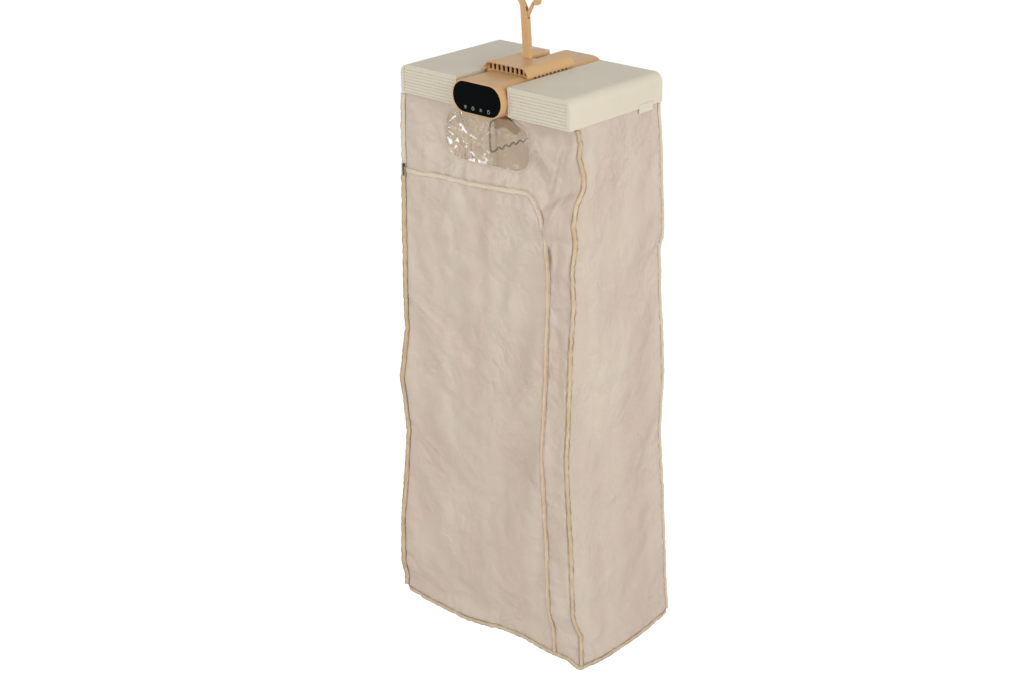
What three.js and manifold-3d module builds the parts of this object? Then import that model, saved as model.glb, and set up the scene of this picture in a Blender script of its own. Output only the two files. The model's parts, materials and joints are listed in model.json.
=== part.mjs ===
// Hanging clothes dryer: a stadium-shaped heater core that hangs from a folding hook, two wing
// trays that fold down on hinge pins, and a fabric drying bag with a zipped door below them.
// Millimetres, +Z up, +X to the right, the control panel faces -Y.
// The origin is the inside of the hook's crest, where the dryer hangs on a rail.
import * as THREE from 'three';
import { mergeVertices } from 'three/addons/utils/BufferGeometryUtils.js';
import Module from 'manifold-3d';

const wasm = await Module();
wasm.setup();

// ---------------------------------------------------------------- driving dimensions
// Heights are measured from the flat top of the wings; the whole dryer is moved at the end.
const seatGap = 0.3; // between pieces that touch
const runGap = 0.8; // beside pieces that turn

// Wings
const wingSpan = 520;
const wingDepth = 314;
const wingHeight = 67;
const wingWall = 2.6;
const wingEdgeRadius = 22;
const wingGap = 2; // between the core's side and a wing
const panelRim = 4; // shell left around an end panel
const panelEndRim = 10; // the same at the wing's outer end
const panelRecess = 0.4;
const panelThickness = 3;
const groovePitch = 7.1;
const grooveWidth = 2.2;
const grooveDepth = 1.5;
const stiffenerWidth = 1.8;
const stiffenerHeight = 8;
const stiffenerPitch = 78;
const bagRailHeight = 12;
const bagRailWidth = 2;
const bagRailLift = 3; // rail's lower edge above the wing's rim

// Core
const coreHalfWidth = 77;
const coreHeight = 76.5;
const coreStep = 1.6; // the core's deck above the wings
const coreWall = 2.5;
const coreFrontOverhang = 16.7;
const coreRearOverhang = 19.6;
const bezelDepth = 13.3;
const bezelWall = 3;
const bezelRounding = 1.4;
const lensThickness = 3;
const lensRecess = 0.6;
const ledgeWidth = 4;
const ledgeThickness = 2;
const boardThickness = 1.6;
const boardInset = 10;
const capDepth = 13.3;
const capWall = 3;
const inletWidth = 24;
const inletHeight = 14;
const inletDepth = 22;
const inletWall = 2.2;

// Wing hinges
const armOffset = 118; // along Y, from the middle
const armWidth = 8;
const armRadius = 7;
const hingePinRadius = 3;
const hingePinLength = 18;
const hingeRibWidth = 4.5;

// Air path
const intakeHalfWidth = 48;
const intakeHalfDepth = 54;
const bridgeFront = -14; // strip of deck under the hook's foot
const bridgeRear = 6;
const fanRadius = 44;
const fanHubRadius = 18;
const fanHeight = 16;
const fanTop = -12;
const bladeCount = 7;
const bladeThickness = 2;
const bladePitchAngle = 0.62;
const shaftRadius = 2.5;
const motorRadius = 17;
const motorHeight = 20;
const motorClearance = 3.5;
const bracketThickness = 3;
const bracketRadius = 46;
const spokeWidth = 8;
const heaterHalfWidth = 38;
const heaterHalfDepth = 50;
const heaterWall = 4;
const finPitch = 8;
const finWidth = 2.4;
const outletHalfWidth = 36;
const outletHalfDepth = 42;
const outletSlotPitch = 9;
const outletSlotWidth = 4.5;
const outletSpine = 4; // solid strip down the middle of the outlet grille
const cutoutWidth = 14;

// Power board and fasteners
const powerBoardHalfWidth = 29;
const powerBoardFront = 62;
const powerBoardDepth = 42;
const powerBoardHeight = 12; // above the tray's floor
const screwX = 22;
const screwY = 143;
const screwRadius = 1.5;
const screwHeadRadius = 3.2;
const screwHeadHeight = 1.5;
const screwLength = 40;
const screwBossRadius = 4.5;

// Air shroud and its grille
const shroudHalfWidth = 69;
const shroudTop = 23.6;
const shroudSkirt = 1.5; // lower edge of the shroud's sides
const shroudFront = -80;
const shroudRear = 77;
const shroudWall = 3;
const slotLeft = -15; // groove that takes the folded hook
const slotRight = 12;
const slotShoulder = 10;
const slotLipFoot = 6;
const grilleSetback = 10; // behind the shroud's front edge
const grilleRearInset = 7;
const grilleWall = 3;
const grillePitch = 13.6;
const grilleSlot = 8.2;
const sideSlot = 7.4;
const sidePitch = 13.1;
const sideSlotCount = 9;

// Hook
const hookY = -4; // middle of the hook's plate
const hookThickness = 11;
const hookPivotZ = 12;
const stemWidth = 19.5;
const stemLean = 0.053;
const hookBandWidth = 14;
const hookInnerRadius = 20;
const hookCentreX = 6;
const hookCentreZ = 166;
const hookTipAngle = -25 * Math.PI / 180;
const hookPinRadius = 2.5;
const earThickness = 5;
const earFront = -12;
const earRear = 2.2;
const earTop = 18;
const gatePivotX = -1;
const gatePivotZ = 118;
const gateKnuckle = 4;
const gateThickness = 5.4;
const gatePinRadius = 1.5;

// Garment rail
const railRadius = 2.25;
const railLegY = 133;
const railTopZ = -97;
const railBottomZ = -169;
const railCorner = 9;
const railPitch = 23;
const railWave = 3.4;
const railBendY = 82;
const railEndY = 42;
const railEndDrop = 35;
const railBracketWidth = 9;
const railBracketDepth = 20;
const railPostFront = 112;
const railPostRear = 86;

// Latch tabs on the wings' outer ends
const tabNear = 76;
const tabFar = 124;
const tabDrop = 11;
const tabHeight = 20;
const tabThickness = 2.8;

// Bag
const bagBottom = -1403;
const bagTop = -60;
const bagFlare = 30; // how much further out each side stands at the foot
const fabric = 1.2;
const bindingSize = 5;
const footBinding = 8;
const bagFrontNotch = 5; // below the core
const doorTop = -248;
const doorRight = 182;
const doorBottom = -1385;
const doorCorner = 58;
const doorGap = 1;
const windowHalfWidth = 128;
const windowTop = -84;
const windowBottom = -196;
const windowRadius = 34;
const zipWidth = 7;
const zipThickness = 2;
const sliderWidth = 4.4;
const sliderHeight = 8;
const sliderThickness = 3.2;
const sliderX = -260;
const pullLength = 26;
const pullThickness = 1.4;

// ---------------------------------------------------------------- derived sizes
const wingHalfSpan = wingSpan / 2;
const wingHalfDepth = wingDepth / 2;
const wingInner = coreHalfWidth + wingGap;
const coreRadius = coreHeight / 2;
const coreMidZ = coreStep - coreRadius;
const hingeX = coreHalfWidth - coreRadius;
const coreFloorZ = coreStep - coreHeight;
const coreFront = -wingHalfDepth - coreFrontOverhang;
const coreRear = wingHalfDepth + coreRearOverhang;
const housingFront = coreFront + bezelDepth;
const housingRear = coreRear - capDepth;
const trayFloor = coreFloorZ + coreWall;
const deckUnderside = coreStep - coreWall;
const shroudRadius = shroudTop - shroudSkirt;
const bagTopX = wingHalfSpan - wingWall - bagRailWidth - 2 * seatGap;
const bagTopY = wingHalfDepth - panelRecess - panelThickness - bagRailWidth - 2 * seatGap;
const bagHeight = bagTop - bagBottom;
const footTop = bagBottom + footBinding;
const hookSeat = new THREE.Vector3(hookCentreX, hookY, hookCentreZ + hookInnerRadius);

// ---------------------------------------------------------------- finishes
const finishes = {
  cream: { color: 0xcdc5b3, roughness: 0.55, metalness: 0 },
  tan: { color: 0xd9b281, roughness: 0.5, metalness: 0 },
  blackGloss: { color: 0x08090b, roughness: 0.08, metalness: 0 },
  darkPlastic: { color: 0x2a2a2c, roughness: 0.6, metalness: 0 },
  circuit: { color: 0x1f5a38, roughness: 0.5, metalness: 0 },
  steel: { color: 0x8d8f92, roughness: 0.3, metalness: 1 },
  aluminium: { color: 0xb9bcc0, roughness: 0.4, metalness: 1 },
  fabric: { color: 0xd3c2b0, roughness: 0.75, metalness: 0 },
  binding: { color: 0xc9b184, roughness: 0.8, metalness: 0 },
  clearFilm: { color: 0xd8d2bd, roughness: 0.1, metalness: 0 },
};

// ---------------------------------------------------------------- shape helpers
/** A closed three.js geometry as a solid that can be joined and cut. */
function solid(geometry) {
  const bare = geometry.clone();
  for (const name of Object.keys(bare.attributes)) {
    if (name !== 'position') bare.deleteAttribute(name);
  }
  const welded = mergeVertices(bare, 1e-4);
  const corners = [];
  for (let i = 0; i < welded.index.count; i += 3) {
    const a = welded.index.getX(i);
    const b = welded.index.getX(i + 1);
    const c = welded.index.getX(i + 2);
    if (a !== b && b !== c && c !== a) corners.push(a, b, c);
  }
  return new wasm.Manifold(new wasm.Mesh({
    numProp: 3,
    vertProperties: new Float32Array(welded.attributes.position.array),
    triVerts: new Uint32Array(corners),
  }));
}

/** A solid as a three.js geometry. */
function geometryOf(body) {
  const mesh = body.getMesh();
  const geometry = new THREE.BufferGeometry();
  geometry.setAttribute('position', new THREE.BufferAttribute(mesh.vertProperties, 3));
  geometry.setIndex(new THREE.BufferAttribute(mesh.triVerts, 1));
  const faceted = geometry.toNonIndexed();
  faceted.computeVertexNormals();
  return faceted;
}

const join = (first, ...rest) => rest.reduce((body, other) => body.add(other), first);
const cut = (first, ...rest) => rest.reduce((body, other) => body.subtract(other), first);

/** A block between two corners. */
function block(x0, x1, y0, y1, z0, z1) {
  const box = new THREE.BoxGeometry(x1 - x0, y1 - y0, z1 - z0);
  box.translate((x0 + x1) / 2, (y0 + y1) / 2, (z0 + z1) / 2);
  return solid(box);
}

/** A rod along one axis, from one end to the other. */
function rod(axis, radius, from, to, u, v, sides = 16) {
  const bar = new THREE.CylinderGeometry(radius, radius, to - from, sides);
  const middle = (from + to) / 2;
  if (axis === 'x') bar.rotateZ(Math.PI / 2).translate(middle, u, v);
  if (axis === 'y') bar.translate(u, middle, v);
  if (axis === 'z') bar.rotateX(Math.PI / 2).translate(u, v, middle);
  return solid(bar);
}

/** An outline drawn in X and Z, run along Y; its ends can be rounded. */
function alongY(outline, y0, y1, segments = 7, rounding = 0) {
  const run = new THREE.ExtrudeGeometry(outline, {
    depth: y1 - y0 - 2 * rounding,
    curveSegments: segments,
    bevelEnabled: rounding > 0,
    bevelThickness: rounding,
    bevelSize: rounding,
    bevelOffset: -rounding,
    bevelSegments: 2,
  });
  run.rotateX(Math.PI / 2).translate(0, y1 - rounding, 0);
  return solid(run);
}

/** An outline drawn in Y and Z, run along X. */
function alongX(outline, x0, x1, segments = 6) {
  const run = new THREE.ExtrudeGeometry(outline, {
    depth: x1 - x0, curveSegments: segments, bevelEnabled: false,
  });
  const turn = new THREE.Matrix4().makeBasis(
    new THREE.Vector3(0, 1, 0), new THREE.Vector3(0, 0, 1), new THREE.Vector3(1, 0, 0),
  );
  run.applyMatrix4(turn).translate(x0, 0, 0);
  return solid(run);
}

/** A block whose top and foot have their own half sizes. */
function taperedBlock(top, foot) {
  const box = new THREE.BoxGeometry(2, 2, 1);
  const place = box.attributes.position;
  for (let i = 0; i < place.count; i += 1) {
    const end = place.getZ(i) > 0 ? top : foot;
    place.setXYZ(i, place.getX(i) * end.x, place.getY(i) * end.y, end.z);
  }
  return solid(box);
}

/** A square bar between two points. */
function strut(from, to, size) {
  const axis = to.clone().sub(from);
  const bar = new THREE.BoxGeometry(size, size, axis.length());
  const turn = new THREE.Quaternion().setFromUnitVectors(
    new THREE.Vector3(0, 0, 1), axis.clone().normalize(),
  );
  bar.applyQuaternion(turn);
  const middle = from.clone().add(to).multiplyScalar(0.5);
  bar.translate(middle.x, middle.y, middle.z);
  return solid(bar);
}

/** The core's rounded section, drawn in X and Z, set in from the outside by inset. */
function stadium(inset) {
  const outline = new THREE.Shape();
  outline.absarc(hingeX, coreMidZ, coreRadius - inset, -Math.PI / 2, Math.PI / 2, false);
  outline.absarc(-hingeX, coreMidZ, coreRadius - inset, Math.PI / 2, 1.5 * Math.PI, false);
  outline.closePath();
  return outline;
}

/** Adds one named piece to a group. */
function add(group, name, body, finish) {
  const mesh = new THREE.Mesh(geometryOf(body), new THREE.MeshStandardMaterial(finishes[finish]));
  mesh.name = name;
  group.add(mesh);
  return mesh;
}

// ---------------------------------------------------------------- core casing
/** The quarter turn of clearance that a hinge arm sweeps, on one side of the core. */
function armSlot(side, y) {
  const inner = hingeX - armRadius - runGap;
  const outer = coreHalfWidth + 1;
  const half = armWidth / 2 + runGap;
  const x0 = side > 0 ? inner : -outer;
  const x1 = side > 0 ? outer : -inner;
  return block(x0, x1, y - half, y + half, coreFloorZ - 1, coreMidZ + armRadius + runGap);
}

/** Ribs that hold a hinge pin on both sides of its arm, between two heights. */
function hingeRibs(z0, z1) {
  const ribs = [];
  for (const side of [-1, 1]) {
    for (const y of [-armOffset, armOffset]) {
      for (const end of [-1, 1]) {
        const near = armWidth / 2 + runGap;
        const middle = y + end * (near + hingeRibWidth / 2);
        ribs.push(block(
          side * hingeX - armRadius, side * hingeX + armRadius,
          middle - hingeRibWidth / 2, middle + hingeRibWidth / 2, z0, z1,
        ));
      }
    }
  }
  return ribs;
}

/** The holes for the four hinge pins. */
function hingeBores() {
  const bores = [];
  for (const side of [-1, 1]) {
    for (const y of [-armOffset, armOffset]) {
      const half = hingePinLength / 2 + seatGap;
      const radius = hingePinRadius + seatGap;
      bores.push(rod('y', radius, y - half, y + half, side * hingeX, coreMidZ));
    }
  }
  return bores;
}

const armSlots = () => [-1, 1].flatMap((side) => [
  armSlot(side, -armOffset), armSlot(side, armOffset),
]);

const screwPlaces = [[-screwX, -screwY], [screwX, -screwY], [-screwX, screwY], [screwX, screwY]];

/** Screw posts, with their holes cut afterwards by screwHoles. */
const screwPosts = (z0, z1) => screwPlaces.map(([x, y]) => rod('z', screwBossRadius, z0, z1, x, y));
const screwHoles = (z0, z1) => screwPlaces.map(
  ([x, y]) => rod('z', screwRadius + seatGap, z0, z1, x, y, 12),
);

function coreHousing() {
  const upper = block(-100, 100, -300, 300, coreMidZ + seatGap / 2, coreStep + 60);
  const tube = cut(
    alongY(stadium(0), housingFront, housingRear),
    alongY(stadium(coreWall), housingFront - 1, housingRear + 1),
  );
  const ears = [-1, 1].map((side) => {
    const near = side * (stemWidth / 2 + 1);
    const far = near + side * earThickness;
    return block(
      Math.min(near, far), Math.max(near, far), earFront, earRear, deckUnderside, earTop,
    );
  });
  const body = join(
    tube.intersect(upper),
    ...hingeRibs(coreMidZ + seatGap / 2, deckUnderside + 0.6),
    ...screwPosts(coreMidZ + seatGap, deckUnderside + 0.6),
    ...ears,
  );
  const openings = [
    block(-intakeHalfWidth, intakeHalfWidth, -intakeHalfDepth, bridgeFront, -10, 10),
    block(-intakeHalfWidth, intakeHalfWidth, bridgeRear, intakeHalfDepth, -10, 10),
  ];
  const pinBore = rod('x', hookPinRadius + seatGap, -40, 40, hookY, hookPivotZ);
  const threadTop = coreFloorZ + screwLength + 2;
  return cut(
    body, ...openings, ...armSlots(), ...hingeBores(), pinBore,
    ...screwHoles(coreMidZ - 1, threadTop),
  );
}

function coreBaseTray() {
  const lower = block(-100, 100, -300, 300, coreFloorZ - 10, coreMidZ - seatGap / 2);
  const tube = cut(
    alongY(stadium(0), housingFront, housingRear),
    alongY(stadium(coreWall), housingFront - 1, housingRear + 1),
  );
  const boardPosts = [-1, 1].flatMap((side) => [0.12, 0.88].map((share) => rod(
    'z', 3, trayFloor - 1, trayFloor + powerBoardHeight - seatGap,
    side * (powerBoardHalfWidth - 5), powerBoardFront + share * powerBoardDepth, 12,
  )));
  const body = join(
    tube.intersect(lower),
    ...hingeRibs(trayFloor - 1, coreMidZ - seatGap / 2),
    ...screwPosts(trayFloor - 1, coreMidZ - seatGap),
    ...boardPosts,
  );
  const outlet = block(
    -outletHalfWidth - seatGap, outletHalfWidth + seatGap,
    -outletHalfDepth - seatGap, outletHalfDepth + seatGap, coreFloorZ - 5, trayFloor + 5,
  );
  const heads = screwPlaces.map(([x, y]) => rod(
    'z', screwHeadRadius + seatGap, coreFloorZ - 1, coreFloorZ + screwHeadHeight + seatGap, x, y,
  ));
  return cut(
    body, outlet, ...armSlots(), ...hingeBores(), ...heads,
    ...screwHoles(coreFloorZ - 1, coreMidZ + 1),
  );
}

function frontBezel() {
  const shell = alongY(stadium(0), coreFront, housingFront + 5, 7, bezelRounding);
  const rim = cut(
    shell,
    alongY(stadium(bezelWall), coreFront - 1, housingFront + 6),
    block(-100, 100, housingFront - seatGap, housingFront + 6, -120, 40),
  );
  const ledgeFront = coreFront + lensRecess + lensThickness + seatGap;
  const ledge = cut(
    alongY(stadium(bezelWall - 0.5), ledgeFront, ledgeFront + ledgeThickness),
    alongY(stadium(bezelWall + ledgeWidth), ledgeFront - 1, ledgeFront + ledgeThickness + 1),
  );
  return join(rim, ledge);
}

function rearCap() {
  const shell = alongY(stadium(0), housingRear - 5, coreRear, 7, bezelRounding);
  const cup = cut(
    shell,
    alongY(stadium(capWall), housingRear - 6, coreRear - capWall),
    block(-100, 100, housingRear - 6, housingRear + seatGap, -120, 40),
  );
  const window = block(
    -inletWidth / 2 - seatGap, inletWidth / 2 + seatGap, coreRear - 20, coreRear + 1,
    coreMidZ - inletHeight / 2 - seatGap, coreMidZ + inletHeight / 2 + seatGap,
  );
  return cut(cup, window);
}

function powerInlet() {
  const rear = coreRear - 0.4;
  const front = rear - inletDepth;
  const body = block(
    -inletWidth / 2, inletWidth / 2, front, rear,
    coreMidZ - inletHeight / 2, coreMidZ + inletHeight / 2,
  );
  const flange = block(
    -inletWidth / 2 - 3, inletWidth / 2 + 3, coreRear - capWall - seatGap - 2,
    coreRear - capWall - seatGap, coreMidZ - inletHeight / 2 - 3, coreMidZ + inletHeight / 2 + 3,
  );
  const socket = block(
    -inletWidth / 2 + inletWall, inletWidth / 2 - inletWall, front + 4, rear + 1,
    coreMidZ - inletHeight / 2 + inletWall, coreMidZ + inletHeight / 2 - inletWall,
  );
  const contacts = [-1, 1].map((side) => rod('y', 1.2, front + 2, rear - 4, side * 4.3, coreMidZ, 10));
  return join(cut(join(body, flange), socket), ...contacts);
}

const lensFront = coreFront + lensRecess;
const boardFront = lensFront + lensThickness + ledgeThickness + 2 * seatGap;

const core = new THREE.Group();
add(core, 'core_housing', coreHousing(), 'tan');
add(core, 'core_base_tray', coreBaseTray(), 'tan');
add(core, 'front_bezel', frontBezel(), 'tan');
add(
  core, 'panel_lens',
  alongY(stadium(bezelWall + seatGap), lensFront, lensFront + lensThickness), 'blackGloss',
);
add(
  core, 'control_board',
  alongY(stadium(boardInset - 5), boardFront, boardFront + boardThickness), 'circuit',
);
add(core, 'rear_cap', rearCap(), 'tan');
add(core, 'power_inlet', powerInlet(), 'darkPlastic');

// ---------------------------------------------------------------- hinge pins and screws
for (const [side, sideName] of [[-1, 'left'], [1, 'right']]) {
  for (const [end, endName] of [[-1, 'front'], [1, 'rear']]) {
    const pin = add(
      core, `${sideName}_hinge_pin_${endName}`,
      rod('y', hingePinRadius, -hingePinLength / 2, hingePinLength / 2, 0, 0), 'steel',
    );
    pin.position.set(side * hingeX, end * armOffset, coreMidZ);
  }
}

screwPlaces.forEach(([x, y], index) => {
  const screw = add(core, `base_screw_${index + 1}`, join(
    rod('z', screwHeadRadius, 0, screwHeadHeight, 0, 0, 16),
    rod('z', screwRadius, screwHeadHeight - 0.2, screwLength, 0, 0, 10),
  ), 'steel');
  screw.position.set(x, y, coreFloorZ);
});

// ---------------------------------------------------------------- air shroud
/** The space under the shroud's arch, drawn in X and Z and set in by inset. */
function arch(inset, foot) {
  const middle = shroudHalfWidth - shroudRadius;
  const radius = shroudRadius - inset;
  const outline = new THREE.Shape();
  outline.moveTo(-middle - radius, foot);
  outline.lineTo(-middle - radius, shroudSkirt);
  outline.absarc(-middle, shroudSkirt, radius, Math.PI, Math.PI / 2, true);
  outline.absarc(middle, shroudSkirt, radius, Math.PI / 2, 0, true);
  outline.lineTo(middle + radius, foot);
  outline.closePath();
  return outline;
}

/** The groove for the folded hook: rounded shoulders at the top, wider by extra all round. */
function trough(extra, foot) {
  const radius = slotShoulder - extra;
  const shoulderZ = shroudTop - slotShoulder;
  const left = slotLeft - slotShoulder;
  const right = slotRight + slotShoulder;
  const outline = new THREE.Shape();
  outline.moveTo(slotLeft - extra, foot);
  outline.lineTo(slotLeft - extra, shoulderZ);
  outline.absarc(left, shoulderZ, radius, 0, Math.PI / 2, false);
  outline.lineTo(left, shroudTop + 10);
  outline.lineTo(right, shroudTop + 10);
  outline.absarc(right, shoulderZ, radius, Math.PI / 2, Math.PI, false);
  outline.lineTo(slotRight + extra, foot);
  outline.closePath();
  return outline;
}

function shroudCover() {
  const slotFront = hookY + hookThickness / 2 + 1;
  const front = cut(
    alongY(arch(0, shroudSkirt), shroudFront, slotFront),
    alongY(arch(shroudWall, shroudSkirt - 1), shroudFront - 1, slotFront + 1),
    block(
      -stemWidth / 2 - runGap, stemWidth / 2 + runGap,
      hookY - hookThickness / 2 - 1.5, slotFront + 1, 0, shroudTop + 5,
    ),
  );
  const lobes = cut(
    alongY(arch(0, shroudSkirt), slotFront - 0.01, shroudRear),
    alongY(trough(0, -20), slotFront - 1, shroudRear + 1),
  );
  const hollow = cut(
    alongY(arch(shroudWall, shroudSkirt - 1), slotFront - 1, shroudRear + 1),
    alongY(trough(shroudWall, slotLipFoot), slotFront - 2, shroudRear + 2),
  );
  return join(front, cut(lobes, hollow));
}

function intakeGrille() {
  const front = shroudFront + grilleSetback;
  const rear = shroudRear - grilleRearInset;
  const rimInset = shroudWall + seatGap;
  const ring = cut(
    alongY(arch(rimInset, -20), front, rear),
    alongY(arch(rimInset + grilleWall, -25), front + grilleWall, rear - grilleWall),
    block(
      -intakeHalfWidth - 2, intakeHalfWidth + 2, front + grilleWall, rear - grilleWall,
      -20, shroudTop + 5,
    ),
    alongY(stadium(-seatGap), front - 1, rear + 1),
    alongY(trough(shroudWall + seatGap, slotLipFoot - 1), rear - grilleWall - 1, rear + 1),
  );
  const openArea = alongY(arch(rimInset + 2.4, -25), front - 5, rear + 5);
  const tall = [];
  for (let i = -4; i <= 4; i += 1) {
    const x = i * grillePitch;
    tall.push(block(
      x - grilleSlot / 2, x + grilleSlot / 2, front - 4, front + grilleWall + 1,
      coreStep + 2, shroudTop,
    ));
    const inTrough = x + grilleSlot > slotLeft - 5 && x - grilleSlot < slotRight + 5;
    if (!inTrough) {
      tall.push(block(
        x - grilleSlot / 2, x + grilleSlot / 2, rear - grilleWall - 1, rear + 4,
        coreStep + 2, shroudTop,
      ));
    }
  }
  const low = [];
  for (let i = 0; i < sideSlotCount; i += 1) {
    const y = (front + rear) / 2 + (i - (sideSlotCount - 1) / 2) * sidePitch;
    low.push(block(-100, 100, y - sideSlot / 2, y + sideSlot / 2, -7.6, shroudSkirt + 6));
  }
  const sides = join(...low);
  const outside = cut(sides, block(-58, 58, -200, 200, -30, 40));
  return cut(ring, join(...tall).intersect(openArea), outside);
}

const shroud = new THREE.Group();
add(shroud, 'shroud_cover', shroudCover(), 'tan');
add(shroud, 'intake_grille', intakeGrille(), 'tan');
core.add(shroud);

// ---------------------------------------------------------------- fan and heater
const hubFoot = fanTop - fanHeight;
const motorTop = hubFoot - motorClearance;
const motorFoot = motorTop - motorHeight;
const bracketFoot = motorFoot - seatGap - bracketThickness;
const heaterTop = bracketFoot - seatGap;
const heaterFoot = trayFloor + seatGap;
const shaftFoot = motorFoot + 3;

function impeller() {
  const blades = [];
  for (let i = 0; i < bladeCount; i += 1) {
    const blade = new THREE.BoxGeometry(fanRadius - fanHubRadius + 3, bladeThickness, fanHeight + 2);
    blade.rotateX(bladePitchAngle);
    blade.translate((fanRadius + fanHubRadius - 3) / 2, 0, fanTop - fanHeight / 2);
    blade.rotateZ(i * 2 * Math.PI / bladeCount);
    blades.push(solid(blade));
  }
  const hub = rod('z', fanHubRadius, hubFoot, fanTop, 0, 0, 28);
  const bore = rod('z', shaftRadius + seatGap, hubFoot - 1, fanTop - 3, 0, 0, 12);
  return cut(join(hub, ...blades), bore);
}

function motorBracket() {
  const z0 = bracketFoot;
  const z1 = bracketFoot + bracketThickness;
  const ring = cut(
    rod('z', bracketRadius, z0, z1, 0, 0, 32),
    rod('z', bracketRadius - 4, z0 - 1, z1 + 1, 0, 0, 32),
  );
  const reach = bracketRadius - 2;
  const spokes = [
    block(-reach, reach, -spokeWidth / 2, spokeWidth / 2, z0, z1),
    block(-spokeWidth / 2, spokeWidth / 2, -reach, reach, z0, z1),
  ];
  return join(ring, rod('z', motorRadius, z0, z1, 0, 0, 24), ...spokes);
}

function heaterFins() {
  const halfWidth = heaterHalfWidth - heaterWall - seatGap;
  const halfDepth = heaterHalfDepth - heaterWall - seatGap;
  const rails = [-1, 0, 1].map((i) => block(
    i * (halfWidth - 2) - 2, i * (halfWidth - 2) + 2, -halfDepth, halfDepth,
    heaterFoot + 1, heaterTop - 1,
  ));
  const fins = [];
  for (let y = -halfDepth + finWidth; y < halfDepth; y += finPitch) {
    fins.push(block(
      -halfWidth + 1, halfWidth - 1, y - finWidth / 2, y + finWidth / 2,
      heaterFoot + 2, heaterTop - 2,
    ));
  }
  return join(...rails, ...fins);
}

function outletGrille() {
  const plate = block(
    -outletHalfWidth, outletHalfWidth, -outletHalfDepth, outletHalfDepth, coreFloorZ, trayFloor,
  );
  const slots = [];
  const count = Math.floor((outletHalfDepth - 4) / outletSlotPitch);
  for (let i = -count; i <= count; i += 1) {
    const y0 = i * outletSlotPitch - outletSlotWidth / 2;
    for (const x0 of [-outletHalfWidth + 5, outletSpine / 2]) {
      const x1 = x0 + outletHalfWidth - 5 - outletSpine / 2;
      slots.push(block(x0, x1, y0, y0 + outletSlotWidth, coreFloorZ - 1, trayFloor + 1));
    }
  }
  return cut(plate, ...slots);
}

const fan = new THREE.Group();
add(fan, 'impeller', impeller(), 'darkPlastic');
add(fan, 'fan_shaft', rod('z', shaftRadius, shaftFoot + seatGap, fanTop - 3 - seatGap, 0, 0, 12), 'steel');
core.add(fan);

add(core, 'fan_motor', cut(
  rod('z', motorRadius, motorFoot, motorTop, 0, 0, 28),
  rod('z', shaftRadius + seatGap, shaftFoot, motorTop + 1, 0, 0, 12),
), 'steel');
add(core, 'motor_bracket', motorBracket(), 'darkPlastic');
add(core, 'heater_frame', cut(
  block(-heaterHalfWidth, heaterHalfWidth, -heaterHalfDepth, heaterHalfDepth, heaterFoot, heaterTop),
  block(
    -heaterHalfWidth + heaterWall, heaterHalfWidth - heaterWall,
    -heaterHalfDepth + heaterWall, heaterHalfDepth - heaterWall, heaterFoot - 1, heaterTop + 1,
  ),
), 'darkPlastic');
add(core, 'heater_fins', heaterFins(), 'aluminium');
add(core, 'thermal_cutout', join(
  block(
    -cutoutWidth / 2, cutoutWidth / 2, -heaterHalfDepth - seatGap - 3, -heaterHalfDepth - seatGap,
    heaterFoot + 1, heaterTop - 1,
  ),
  rod('y', 3.5, -heaterHalfDepth - 6, -heaterHalfDepth - 3, 0, (heaterFoot + heaterTop) / 2, 16),
), 'aluminium');
add(core, 'outlet_grille', outletGrille(), 'tan');

// ---------------------------------------------------------------- power board
function powerBoard() {
  const foot = trayFloor + powerBoardHeight;
  const top = foot + boardThickness;
  const rear = powerBoardFront + powerBoardDepth;
  const plate = block(-powerBoardHalfWidth, powerBoardHalfWidth, powerBoardFront, rear, foot, top);
  const transformer = block(-20, 0, powerBoardFront + 8, powerBoardFront + 28, top - 0.5, top + 18);
  const capacitors = [8, 20].map((x) => rod('z', 5, top - 0.5, top + 16, x, powerBoardFront + 14, 14));
  const relay = block(2, 20, rear - 16, rear - 5, top - 0.5, top + 11);
  return join(plate, transformer, ...capacitors, relay);
}
add(core, 'power_board', powerBoard(), 'circuit');

// ---------------------------------------------------------------- garment rail
/** The rail's route in Y and Z from its front end over the leg and along the wavy bar. */
function railRoute() {
  const points = [];
  const put = (y, z) => points.push(new THREE.Vector3(0, y, z));
  const arc = (cy, cz, from, to, count) => {
    for (let i = 0; i <= count; i += 1) {
      const angle = from + (to - from) * i / count;
      put(cy + railCorner * Math.cos(angle), cz + railCorner * Math.sin(angle));
    }
  };
  put(-railEndY, railTopZ - railEndDrop);
  put(-railBendY, railTopZ);
  arc(-railLegY + railCorner, railTopZ - railCorner, Math.PI / 2, Math.PI, 3);
  arc(-railLegY + railCorner, railBottomZ + railCorner, Math.PI, 1.5 * Math.PI, 3);
  const run = railLegY - 1.6 * railCorner;
  const waves = Math.round(2 * run / railPitch);
  const steps = waves * 6;
  for (let i = 1; i < steps; i += 1) {
    const share = i / steps;
    put(-run + 2 * run * share, railBottomZ + railWave * (1 - Math.cos(2 * Math.PI * waves * share)));
  }
  arc(railLegY - railCorner, railBottomZ + railCorner, 1.5 * Math.PI, 2 * Math.PI, 3);
  arc(railLegY - railCorner, railTopZ - railCorner, 0, Math.PI / 2, 3);
  put(railBendY, railTopZ);
  put(railEndY, railTopZ - railEndDrop);
  return points;
}

/** A round bar that follows straight steps between the given points. */
function bar(points, radius, sides) {
  const path = new THREE.CurvePath();
  for (let i = 1; i < points.length; i += 1) {
    path.add(new THREE.LineCurve3(points[i - 1], points[i]));
  }
  const smooth = new THREE.CatmullRomCurve3(points, false, 'centripetal');
  const section = new THREE.Shape();
  section.absarc(0, 0, radius, 0, 2 * Math.PI, false);
  const steps = Math.round(smooth.getLength() / (2.4 * radius));
  return solid(new THREE.ExtrudeGeometry(section, {
    steps, curveSegments: sides / 2, extrudePath: smooth, bevelEnabled: false,
  }));
}

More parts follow.
